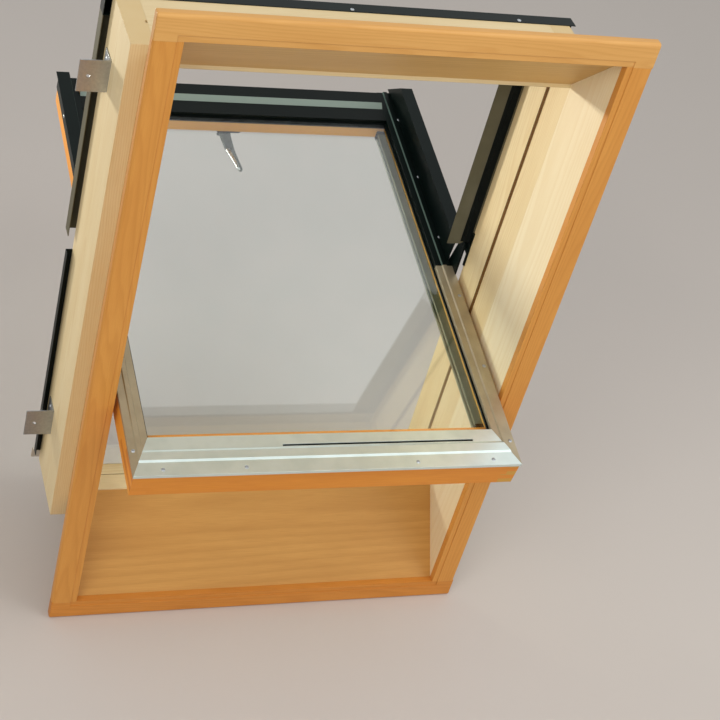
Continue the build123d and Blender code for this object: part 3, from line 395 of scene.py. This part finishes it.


# %% [markdown]
# One near-black paint covers the hood, the lower covers, the hinges and the arms. The
# claddings on the lower half of the sash have it too, but the narrow slope along each side
# carries a grey-green painted highlight, and the wider slope across the foot a paler painted
# highlight still. The upper covers are grey brown, with a rougher coat that shines less.

# %% Painted covers, claddings and hinges
finish(
    stoved_paint("stoved_paint_near_black", "040F0C", "0D1815"),
    "head_hood", "lower_side_cover_left", "lower_side_cover_right",
    "raised_side_cover_left", "raised_side_cover_right",
    "hinge_plate_left", "hinge_plate_right", "pivot_arm_left", "pivot_arm_right",
)
finish(
    stoved_paint("stoved_paint_painted_ridge_highlight", "040F0C", "0D1815", slope_highlight="5A6F66"),
    "lower_side_cladding_left", "lower_side_cladding_right",
)
finish(
    stoved_paint("stoved_paint_painted_slope_highlight", "060E0B", "121713", slope_highlight="94A398"),
    "bottom_cladding",
)
finish(
    stoved_paint("stoved_paint_grey_brown", "5F5A46", "6E6955", rough=0.42),
    "upper_side_cover_left", "upper_side_cover_right",
)

# %% [markdown]
# The upper half of the sash has pale profiles. They are extruded: the metal is pushed
# through a die, which leaves faint straight lines along the profile. A thin silver lacquer
# with metal flakes covers it, so it shines less than bare metal and scatters more light. An
# anisotropic metal could imitate the lines, but only as a sheen. A noise that is stretched
# two hundred times along the profile draws them, and drives roughness and bump together.

# %% Extruded aluminium
DIE_LINE, LINE_STRETCH = 0.0009, 0.005      # width, and width for each unit of length
LACQUER_CLOUD = 0.05


def extruded_aluminium(name, metal, shade, along, rough=0.36, metallic=0.6):
    """Lacquered or anodised aluminium profile, with die lines running along it."""
    material, tree = new_material(name)
    where = add(tree, "TexCoord").outputs["Object"]
    profile = add(tree, "Mapping", {"Vector": where, "Rotation": along})
    drawn = add(tree, "VectorMath", {0: profile, 1: (1, 1, LINE_STRETCH)}, operation="MULTIPLY")
    lines = add(tree, "TexNoise", {"Vector": drawn, "Scale": 1 / DIE_LINE, "Detail": 3.0})
    cloud = add(tree, "TexNoise", {"Vector": where, "Scale": 1 / LACQUER_CLOUD, "Detail": 4.0})
    uneven = add(tree, "MapRange", {
        "Value": cloud.outputs["Fac"], "From Min": 0.4, "From Max": 0.75, "To Max": 0.5,
    })
    coat = add(tree, "Mix", {SHARE: uneven, COLOUR_A: metal, COLOUR_B: shade}, data_type="RGBA")
    edge = add(tree, "Bevel", {"Radius": 0.0006}, samples=EDGE_SAMPLES)
    bump = add(tree, "Bump", {
        "Strength": 0.05, "Distance": 0.00005, "Height": lines.outputs["Fac"], "Normal": edge,
    })
    gloss = add(tree, "MapRange", {
        "Value": lines.outputs["Fac"], "To Min": rough - 0.03, "To Max": rough + 0.04,
    })
    profile_metal = add(tree, "BsdfPrincipled", {
        "Base Color": coat.outputs[MIXED],
        "Roughness": gloss,
        "Normal": bump,
        "Metallic": metallic,
    })
    add(tree, "OutputMaterial", {"Surface": profile_metal})
    return material


# %% [markdown]
# The profile across the head of the sash is the brightest and shines most. Those along its
# sides are the colour of champagne, and the cover on the sill is a duller silver. The rails
# that guide a blind are anodised: the oxide skin of the metal is grown thicker in a bath
# and dyed, here to an olive grey. The die lines follow each profile, so each finish is
# given the direction of its own pieces.

# %% Pale profiles, sill cover and guide rails
finish(
    extruded_aluminium("lacquered_aluminium_silver", "E2EEE9", "C8D7D0", SASH_RAIL, 0.3, 0.7),
    "top_cladding",
)
finish(
    extruded_aluminium("lacquered_aluminium_silver_cover", "D9D3C6", "C6BFB0", ALONG_X),
    "sill_cover",
)
finish(
    extruded_aluminium("lacquered_aluminium_champagne", "B5A88C", "97896F", SASH_STILE, 0.38),
    "upper_side_cladding_left", "upper_side_cladding_right",
)
finish(
    extruded_aluminium("anodised_aluminium_olive", "82846A", "6A6D53", SASH_STILE, 0.4),
    "guide_rail_left", "guide_rail_right",
)

# %% [markdown]
# Brackets, screws and lock parts are steel with a thin coat of zinc. The plating looks like
# a cool grey metal, cloudy from the bath, with fine scratches from handling. One even grey
# would look like plastic, so the clouds are drawn, a few millimetres wide, and they change
# colour and roughness together. Real scratches are finer than the render can show, so they
# are drawn 0.7 mm apart. The lever's casting takes the same recipe with paler greys.

# %% Zinc-plated steel
BATH_CLOUD = 0.006
SCRATCH, SCRATCH_STRETCH = 0.0007, 0.04      # spacing, and width for each unit of length


def zinc_plated_steel(name, bright, dull, rough):
    """Bright plating with cloudy patches and handling scratches."""
    material, tree = new_material(name)
    where = add(tree, "TexCoord").outputs["Object"]
    cloud = add(tree, "TexNoise", {"Vector": where, "Scale": 1 / BATH_CLOUD, "Detail": 4.0})
    rubbed = add(tree, "VectorMath", {0: where, 1: (1, SCRATCH_STRETCH, 1)}, operation="MULTIPLY")
    scratch = add(tree, "TexNoise", {"Vector": rubbed, "Scale": 1 / SCRATCH, "Detail": 2.0})
    patchy = cloud.outputs["Fac"]
    coat = add(tree, "Mix", {SHARE: patchy, COLOUR_A: bright, COLOUR_B: dull}, data_type="RGBA")
    edge = add(tree, "Bevel", {"Radius": 0.0005}, samples=EDGE_SAMPLES)
    bump = add(tree, "Bump", {
        "Strength": 0.1, "Distance": 0.00004, "Height": scratch.outputs["Fac"], "Normal": edge,
    })
    gloss = add(tree, "MapRange", {"Value": patchy, "To Min": rough - 0.06, "To Max": rough + 0.16})
    plating = add(tree, "BsdfPrincipled", {
        "Base Color": coat.outputs[MIXED],
        "Roughness": gloss,
        "Normal": bump,
        "Metallic": 1.0,
    })
    add(tree, "OutputMaterial", {"Surface": plating})
    return material


zinc = zinc_plated_steel("zinc_plated_steel", "C3C7CA", "9EA3A7", 0.3)
finish(
    zinc,
    "fixing_brackets", "lock_keepers", "lock_case", "lock_faceplate", "lock_bar", "lock_pinion",
    "handle_spindle", "frame_screws", "sash_screws",
)

# %% [markdown]
# ## Rubber and plastic
# Seals are EPDM rubber, which is a deep matt black with a slight grey bloom. Moulded ABS
# plastic is close in colour but has a finer eroded grain and a little more gloss. The brown
# seals of the frame and the grey spacer between the panes are matt in the same way, so one
# recipe serves them all, with its own colours, roughness and grain each time.

# %% Rubber and moulded plastic
BLOOM_PATCH = 0.02


def matt_polymer(name, body, bloom, rough, grain_mm, depth_mm):
    """Rubber or moulded plastic with a bloom and a fine grain."""
    material, tree = new_material(name)
    where = add(tree, "TexCoord").outputs["Object"]
    cloud = add(tree, "TexNoise", {"Vector": where, "Scale": 1 / BLOOM_PATCH, "Detail": 4.0})
    grain = add(tree, "TexNoise", {"Vector": where, "Scale": 1000 / grain_mm, "Detail": 2.0})
    patchy = cloud.outputs["Fac"]
    bloomed = add(tree, "MapRange", {
        "Value": patchy, "From Min": 0.4, "From Max": 0.8, "To Max": 0.6,
    })
    coat = add(tree, "Mix", {SHARE: bloomed, COLOUR_A: body, COLOUR_B: bloom}, data_type="RGBA")
    edge = add(tree, "Bevel", {"Radius": 0.0005}, samples=EDGE_SAMPLES)
    bump = add(tree, "Bump", {
        "Strength": 0.3,
        "Distance": depth_mm / 1000,
        "Height": grain.outputs["Fac"],
        "Normal": edge,
    })
    gloss = add(tree, "MapRange", {"Value": patchy, "To Min": rough - 0.06, "To Max": rough + 0.08})
    polymer = add(tree, "BsdfPrincipled", {
        "Base Color": coat.outputs[MIXED],
        "Roughness": gloss,
        "Normal": bump,
        "IOR": 1.5,
        "Specular IOR Level": 0.12,
    })
    add(tree, "OutputMaterial", {"Surface": polymer})
    return material


# %% [markdown]
# The plate under the handle, the caps of the guide rails and the vent strip are moulded
# ABS. Everything that seals is EPDM. The spacer between the panes is grey polypropylene,
# which lets less warmth through than a metal one. After the two colours come the roughness,
# and then the width and the depth of the grain in millimetres.

# %% Seals, caps and spacer
moulded_abs = matt_polymer("moulded_abs_black", "080B0A", "111514", 0.46, 0.35, 0.02)
finish(moulded_abs, "handle_base", "guide_rail_caps", "vent_strip")
finish(
    matt_polymer("epdm_rubber", "050A09", "101614", 0.66, 0.5, 0.03),
    "cover_seal_left", "cover_seal_right", "glazing_tape", "glazing_gasket",
)
finish(
    matt_polymer("epdm_rubber_brown", "6E4C24", "7F5D33", 0.62, 0.5, 0.03),
    "stile_gasket_left", "stile_gasket_right", "sill_gasket",
)
finish(
    matt_polymer("polypropylene_grey", "3A3D3E", "4C5051", 0.5, 0.4, 0.03),
    "glass_spacer",
)

# %% [markdown]
# ## Glass
# The glazing unit has two panes of 4 mm float glass. Float glass is clear with a slight green
# from the iron in its sand, which shows mostly at the edges. A thin see-through sheet would
# be quicker to render. Solid glass that bends and reflects light is used instead, so that
# the reflections of both panes are doubled as in life.
#
# A renderer that follows rays one way finds no lamp through bent glass, and everything behind
# it would go dark. Rays that only ask whether a lamp is in sight are let straight through.

# %% Float glass
FILM_PATCH = 0.09      # the faint film on a pane changes over about nine centimetres

float_glass, tree = new_material("float_glass_clear")
where = add(tree, "TexCoord").outputs["Object"]
film = add(tree, "TexNoise", {"Vector": where, "Scale": 1 / FILM_PATCH, "Detail": 5.0})
filmed = add(tree, "MapRange", {"Value": film.outputs["Fac"], "From Min": 0.3, "From Max": 0.7})
tint = add(tree, "Mix", {SHARE: filmed, COLOUR_A: "FDFFFE", COLOUR_B: "FBFEFD"}, data_type="RGBA")
glass = add(tree, "BsdfPrincipled", {
    "Base Color": tint.outputs[MIXED],
    "Roughness": 0.0,
    "IOR": 1.5,
    "Transmission Weight": 1.0,
})
open_way = add(tree, "BsdfTransparent", {"Color": "FAFDFC"})
asks_for_lamp = add(tree, "LightPath").outputs["Is Shadow Ray"]
pane = add(tree, "MixShader", {0: asks_for_lamp, 1: glass, 2: open_way})
add(tree, "OutputMaterial", {"Surface": pane})
finish(float_glass, "outer_pane", "inner_pane")

# %% [markdown]
# ## Handle
# The lever of the handle is cast, so it has no sharp edge anywhere. It could be modelled as a
# box that is rounded by subdivision, but its section changes all along. So it is laid as a
# skin over a row of rounded rings: they rise from the base plate, turn through the bulky neck
# and then narrow along the grip, which leans a little aside and dips back to the glass.
#
# First come the tools: one turns rows of points into bands of faces, and one turns the
# finished shape into an object of the scene.

# %% Tools for mesh pieces


def join_rows(shape, rows):
    """Lays a band of faces between each closed row of points and the next."""
    for near, far in zip(rows, rows[1:]):
        for i in range(len(near)):
            j = (i + 1) % len(near)
            shape.faces.new((near[i], near[j], far[j], far[i]))


def as_object(name, shape, materials, smooth=False):
    """Turns a finished shape into an object with the given materials."""
    mesh = bpy.data.meshes.new(name)
    shape.to_mesh(mesh)
    shape.free()
    mesh.polygons.foreach_set("use_smooth", [smooth] * len(mesh.polygons))
    for material in materials:
        mesh.materials.append(material)
    made = bpy.data.objects.new(name, mesh)
    bpy.context.collection.objects.link(made)
    print(name, "has", len(mesh.polygons), "faces")
    return made


# %% [markdown]
# The path of the lever is given for the closed sash, where up and out are easy to read, and
# turned to where the sash is kept. Each stop has the middle of a ring, across the window, out
# of the glass and up the sash, and then half the ring's width and half its thickness.

# %% Path of the lever
PIVOT = Vector((0, 0.085, 0))
TURN_SASH = Matrix.Rotation(TURNED, 4, "X")
TO_KEPT = Matrix.Translation(PIVOT) @ TURN_SASH @ Matrix.Translation(-PIVOT)
LEVER_STOPS = (      # all in millimetres
    (-9.0, -63.4, -514.5, 13.6, 13.6),
    (-9.0, -65.0, -514.5, 13.8, 13.8),
    (-9.0, -68.0, -514.5, 12.6, 12.6),
    (-9.0, -74.0, -514.3, 11.8, 11.6),
    (-8.9, -79.5, -513.2, 12.4, 11.4),
    (-8.8, -84.0, -510.6, 13.2, 10.6),
    (-8.6, -87.0, -506.2, 13.8, 9.2),
    (-8.3, -88.6, -500.0, 13.8, 7.6),
    (-7.8, -89.0, -490.0, 13.2, 6.4),
    (-7.0, -88.9, -474.0, 12.4, 5.7),
    (-5.8, -88.4, -452.5, 11.4, 5.5),
    (-4.4, -84.6, -432.0, 9.8, 5.5),
    (-3.0, -79.2, -408.0, 8.4, 5.5),
    (-1.8, -74.4, -386.0, 7.4, 5.3),
    (-1.3, -71.4, -372.0, 6.8, 5.0),
    (-1.1, -70.3, -367.0, 5.6, 4.2),
    (-1.0, -69.8, -364.9, 3.0, 2.2),
)
print("the lever has", len(LEVER_STOPS), "rings")

# %% [markdown]
# A ring is a little fuller than an ellipse, as a grip that was shaped for the hand. It stands
# square to the path, and the path's direction at a ring is that from the ring before it to
# the ring after it.

# %% Rings of the lever
CORNERS = 48         # points around a ring
FULLNESS = 0.82      # 1 would give an ellipse, and less gives a fuller ring


def ring(middle, ahead, half_wide, half_thick):
    """A rounded ring of points, in millimetres, that stands square to the way ahead."""
    aside = Vector((1, 0, 0))
    over = ahead.normalized().cross(aside).normalized()
    points = []
    for i in range(CORNERS):
        angle = 2 * math.pi * i / CORNERS
        c, s = math.cos(angle), math.sin(angle)
        wide = math.copysign(abs(c) ** FULLNESS, c) * half_wide
        thick = math.copysign(abs(s) ** FULLNESS, s) * half_thick
        points.append(middle + aside * wide + over * thick)
    return points


shape = bmesh.new()
path = [Vector(stop[:3]) for stop in LEVER_STOPS]
rows = []
for i, (half_wide, half_thick) in enumerate(stop[3:] for stop in LEVER_STOPS):
    ahead = path[min(i + 1, len(path) - 1)] - path[max(i - 1, 0)]
    points = ring(path[i], Vector((0, ahead.y, ahead.z)), half_wide, half_thick)
    rows.append([shape.verts.new(TO_KEPT @ (point / 1000)) for point in points])
join_rows(shape, rows)
shape.faces.new(rows[0])
shape.faces.new(rows[-1])
bmesh.ops.recalc_face_normals(shape, faces=shape.faces)

# %% [markdown]
# The bright casting covers only the lit side of the grip, as a painted highlight. Its other
# side, as painted shade, and the whole neck are dark nylon. The faces were laid ring by ring,
# so a face's number says on which ring and on which side of the lever it lies, and with that
# which of the two materials it gets.

# %% Lever in two materials
# The lit side of the grip gets the bright casting as a painted highlight, and its other side gets
# the dark nylon as painted shade.
NECK_RINGS = 10                                              # the neck ends at this ring
LIT_SIDE_STARTS, LIT_SIDE_ENDS = CORNERS / 4, CORNERS * 5 / 6      # corners on its front side

casting_with_painted_highlight = zinc_plated_steel("satin_lacquered_die_casting", "E4E8E6", "D3D8D4", 0.22)
nylon_with_painted_shade = matt_polymer("dark_nylon_with_painted_shade_back", "20281A", "333C27", 0.42, 0.4, 0.01)
lever = as_object("cast_lever", shape, [casting_with_painted_highlight, nylon_with_painted_shade], smooth=True)
for face in lever.data.polygons:
    row, corner = divmod(face.index, CORNERS)
    is_painted_lit_side = row >= NECK_RINGS and LIT_SIDE_STARTS < corner < LIT_SIDE_ENDS
    face.material_index = 0 if is_painted_lit_side else 1
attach(lever, "handle")
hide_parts("handle_lever")
finished.add("handle_lever")

# %% [markdown]
# A small round knob of black plastic sits on the left of the neck. It is turned into its
# place with the same matrix as the lever, and it rides on the handle with it.

# %% Knob at the neck
KNOB_AT = (-0.0245, -0.088, -0.507)
KNOB_R = 0.0045

shape = bmesh.new()
bmesh.ops.create_uvsphere(
    shape, u_segments=32, v_segments=20, radius=KNOB_R,
    matrix=TO_KEPT @ Matrix.Translation(KNOB_AT),
)
knob = as_object("neck_knob", shape, [moulded_abs], smooth=True)
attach(knob, "handle")

# %% [markdown]
# ## Screws
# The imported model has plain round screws. Screws could be scattered over the covers by hand,
# but then they might miss their holes, so each packed screw is found again instead. All the
# screws of a body are one mesh, and nothing connects one screw with the next. A walk along
# the edges from any point therefore ends when it has seen a whole screw.

# %% Find the screws of a mesh


def separate_solids(mesh):
    """Positions of the vertices of each solid of a mesh, found by walking along its edges."""
    welded = bmesh.new()
    welded.from_mesh(mesh)
    bmesh.ops.remove_doubles(welded, verts=welded.verts, dist=1e-6)
    seen = set()
    solids = []
    for start in welded.verts:
        if start in seen:
            continue
        seen.add(start)
        front, solid = [start], []
        while front:
            vertex = front.pop()
            solid.append(vertex.co[:])
            for edge in vertex.link_edges:
                other = edge.other_vert(vertex)
                if other not in seen:
                    seen.add(other)
                    front.append(other)
        solids.append(np.array(solid))
    welded.free()
    return solids


# %% [markdown]
# A screw is long and thin, so the direction in which its points spread most is its axis. Its
# shank is 2 mm in radius and its head 4 mm, so points more than 3.5 mm from the axis belong
# to the head, and they say at which end it is.

# %% Find the head of a screw
PAST_SHANK = 0.0035


def head_place(points):
    """The place of a screw's head, as a matrix whose Z points out of the head."""
    middle = (points.max(axis=0) + points.min(axis=0)) / 2
    spread = points - points.mean(axis=0)
    axis = np.linalg.eigh(spread.T @ spread)[1][:, -1]
    along = (points - middle) @ axis
    across = np.linalg.norm(points - middle - np.outer(along, axis), axis=1)
    if along[across > PAST_SHANK].mean() < 0:
        axis, along = -axis, -along
    top = Vector(middle + axis * along.max())
    turn = Vector(axis).to_track_quat("Z", "Y").to_matrix().to_4x4()
    return Matrix.Translation(top) @ turn


# %% [markdown]
# A low dome with a cross recess takes the place of each head. The recess could be cut with a
# boolean, but on a head of 8 mm a height is enough: the dome is a disc of small faces, and a
# point that lies inside one of the two arms of the cross is pressed down by 0.9 mm.

# %% Shape of a head
HEAD_R, HEAD_H = 0.0042, 0.0015
DOME_POWER = 2.6              # 2 gives half an ellipse, and more gives a flatter top
RECESS_LONG, RECESS_WIDE, RECESS_DEEP = 0.0021, 0.0005, 0.0009
SIDES, CIRCLES = 40, 14       # points around a head, and circles from its rim to its middle
MIDDLE_R = 0.0003             # radius of the last circle, which one face closes
FOOT = -0.0004                # the rim goes on down this far, so that the head sits in its cover


def head_height(x, y):
    """Height of the screw head above its seat."""
    far = math.hypot(x, y) / HEAD_R
    dome = HEAD_H * math.sqrt(max(0.0, 1 - far ** DOME_POWER))
    in_arm = min(abs(x), abs(y)) < RECESS_WIDE and max(abs(x), abs(y)) < RECESS_LONG
    return dome - RECESS_DEEP if in_arm else dome


def press_head(shape, place):
    """Adds one domed head with its recess to a shape."""
    rows = []
    for number, radius in enumerate([HEAD_R, *np.linspace(HEAD_R, MIDDLE_R, CIRCLES)]):
        row = []
        for i in range(SIDES):
            angle = 2 * math.pi * i / SIDES
            x, y = radius * math.cos(angle), radius * math.sin(angle)
            z = FOOT if number == 0 else head_height(x, y)
            row.append(shape.verts.new(place @ Vector((x, y, z))))
        rows.append(row)
    join_rows(shape, rows)
    shape.faces.new(rows[-1])


# %% [markdown]
# The heads of one body's screws become one piece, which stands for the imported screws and
# rides on the same body as they do.

# %% Dress all the screws
for body in ("frame", "sash"):
    node = body + "_screws"
    shape = bmesh.new()
    screws = separate_solids(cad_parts[node].data)
    for points in screws:
        press_head(shape, head_place(points))
    heads = as_object("cross_head_screws_of_" + body, shape, [zinc])
    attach(heads, body)
    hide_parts(node)
    print("screws on the", body + ":", len(screws))
print("nodes finished:", len(finished), "of", len(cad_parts))

# %% [markdown]
# ## Floor, light and camera
# The floor is a plain pale sheet of paper, 40 m wide, so its edge stays outside the camera's
# view and shows only in low views from elsewhere. A faint mottle keeps it from being a dead
# flat colour.

# %% Floor
FLOOR_Z = bare_box[0][2] - 0.0005      # half a millimetre below the window
FLOOR_SIDE = 40                        # metres
MOTTLES_A_METRE = 1.5

pale_paper, tree = new_material("pale_paper")
where = add(tree, "TexCoord").outputs["Object"]
cloud = add(tree, "TexNoise", {"Vector": where, "Scale": MOTTLES_A_METRE, "Detail": 2.0})
mottle = add(tree, "MapRange", {"Value": cloud.outputs["Fac"], "To Max": 0.15})
pulp = add(tree, "Mix", {SHARE: mottle, COLOUR_A: "D2C9C1", COLOUR_B: "BDB6B0"}, data_type="RGBA")
paper = add(tree, "BsdfPrincipled", {"Base Color": pulp.outputs[MIXED], "Roughness": 0.9})
add(tree, "OutputMaterial", {"Surface": paper})

bpy.ops.mesh.primitive_plane_add(size=FLOOR_SIDE, location=(0, 0, FLOOR_Z))
floor = bpy.context.object
floor.name = "floor"
floor.data.materials.append(pale_paper)
print("floor at", round(FLOOR_Z, 4), "m")

# %% [markdown]
# The world is an even pale room. Its light on the window is kept low, so that the lamps
# model the shapes. Where the camera, a reflection or a look through the glass meets it, it
# is nearly white instead, which makes the background pale without adding light.

# %% Pale room around the window
ROOM_LIGHT, ROOM_SEEN = 0.57, 1.05

world = bpy.data.worlds.new("pale_room")
bpy.context.scene.world = world
world.use_nodes = True
tree = world.node_tree
tree.nodes.clear()
ray = add(tree, "LightPath")
seen = add(tree, "Math", {
    0: ray.outputs["Is Camera Ray"], 1: ray.outputs["Is Glossy Ray"],
}, operation="MAXIMUM")
seen = add(tree, "Math", {0: seen, 1: ray.outputs["Is Transmission Ray"]}, operation="MAXIMUM")
level = add(tree, "MapRange", {"Value": seen, "To Min": ROOM_LIGHT, "To Max": ROOM_SEEN})
backdrop = add(tree, "Background", {"Color": "F2F4F5", "Strength": level})
add(tree, "OutputWorld", {"Surface": backdrop})
print("room light:", ROOM_LIGHT, "room as seen:", ROOM_SEEN)

# %% [markdown]
# A large soft lamp stands in front, above and on the left, a weaker one on the right, and a
# small one high up runs its light along the sloping faces. Beyond the window a small lamp
# throws daylight on the right-hand lining. A sun lamp would light the floor and the whole
# outside just as strongly. This one has a beam of 50 degrees that fades to its sides, and
# it is only 30 cm wide, which gives the crisp edge that the head's shadow has there.

# %% Lamps


def soft_lamp(name, place, aim, size, watts, code="FFFFFF"):
    """A square area lamp that looks from one point to another."""
    lamp = bpy.data.lights.new(name, "AREA")
    lamp.size = size
    lamp.energy = watts
    lamp.color = hex_light(code)[:3]
    holder = bpy.data.objects.new(name, lamp)
    bpy.context.collection.objects.link(holder)
    holder.location = place
    holder.rotation_euler = (Vector(aim) - Vector(place)).to_track_quat("-Z", "Y").to_euler()
    print(name, watts, "W")
    return lamp


soft_lamp("key_lamp", place=(-3.0, -3.2, 3.4), aim=(0, 0, 0), size=2.6, watts=88, code="FFFDFA")
soft_lamp("fill_lamp", place=(3.4, -2.6, 1.4), aim=(0, 0, 0), size=2.4, watts=36)
soft_lamp("slope_lamp", place=(1.2, -1.3, 3.0), aim=(0, -0.2, 0), size=1.6, watts=22)
daylight = soft_lamp(
    "daylight_lamp", place=(-1.8, 2.4, -0.1), aim=(0.42, -0.2, 0.45),
    size=0.3, watts=5.2, code="FFFCF2",
)
daylight.spread = math.radians(50)

# %% [markdown]
# The camera looks at the window from where the photograph was taken. Its place and turn were
# found by fitting the corners of the casing and of the sash, and they are given by its
# position, the direction it looks in and the direction that is up in the picture.

# %% Camera
CAMERA_AT = Vector((-1.2031, -2.8057, 2.2462))
LOOKS_ALONG = Vector((0.350909, 0.696735, -0.625638)).normalized()
PICTURE_UP = Vector((0.008453, 0.665740, 0.746136))
SENSOR_MM, LENS_MM = 36, 88.45

camera_data = bpy.data.cameras.new("camera")
camera_data.sensor_width = SENSOR_MM
camera_data.lens = LENS_MM
camera_data.clip_end = 100
camera = bpy.data.objects.new("camera", camera_data)
bpy.context.collection.objects.link(camera)
right = LOOKS_ALONG.cross(PICTURE_UP).normalized()
up = right.cross(LOOKS_ALONG)
turn = Matrix((right, up, -LOOKS_ALONG)).transposed()
camera.matrix_world = Matrix.Translation(CAMERA_AT) @ turn.to_4x4()
bpy.context.scene.camera = camera
bpy.context.scene.view_settings.view_transform = "Standard"
print("camera to the origin:", round(CAMERA_AT.length, 3), "m")
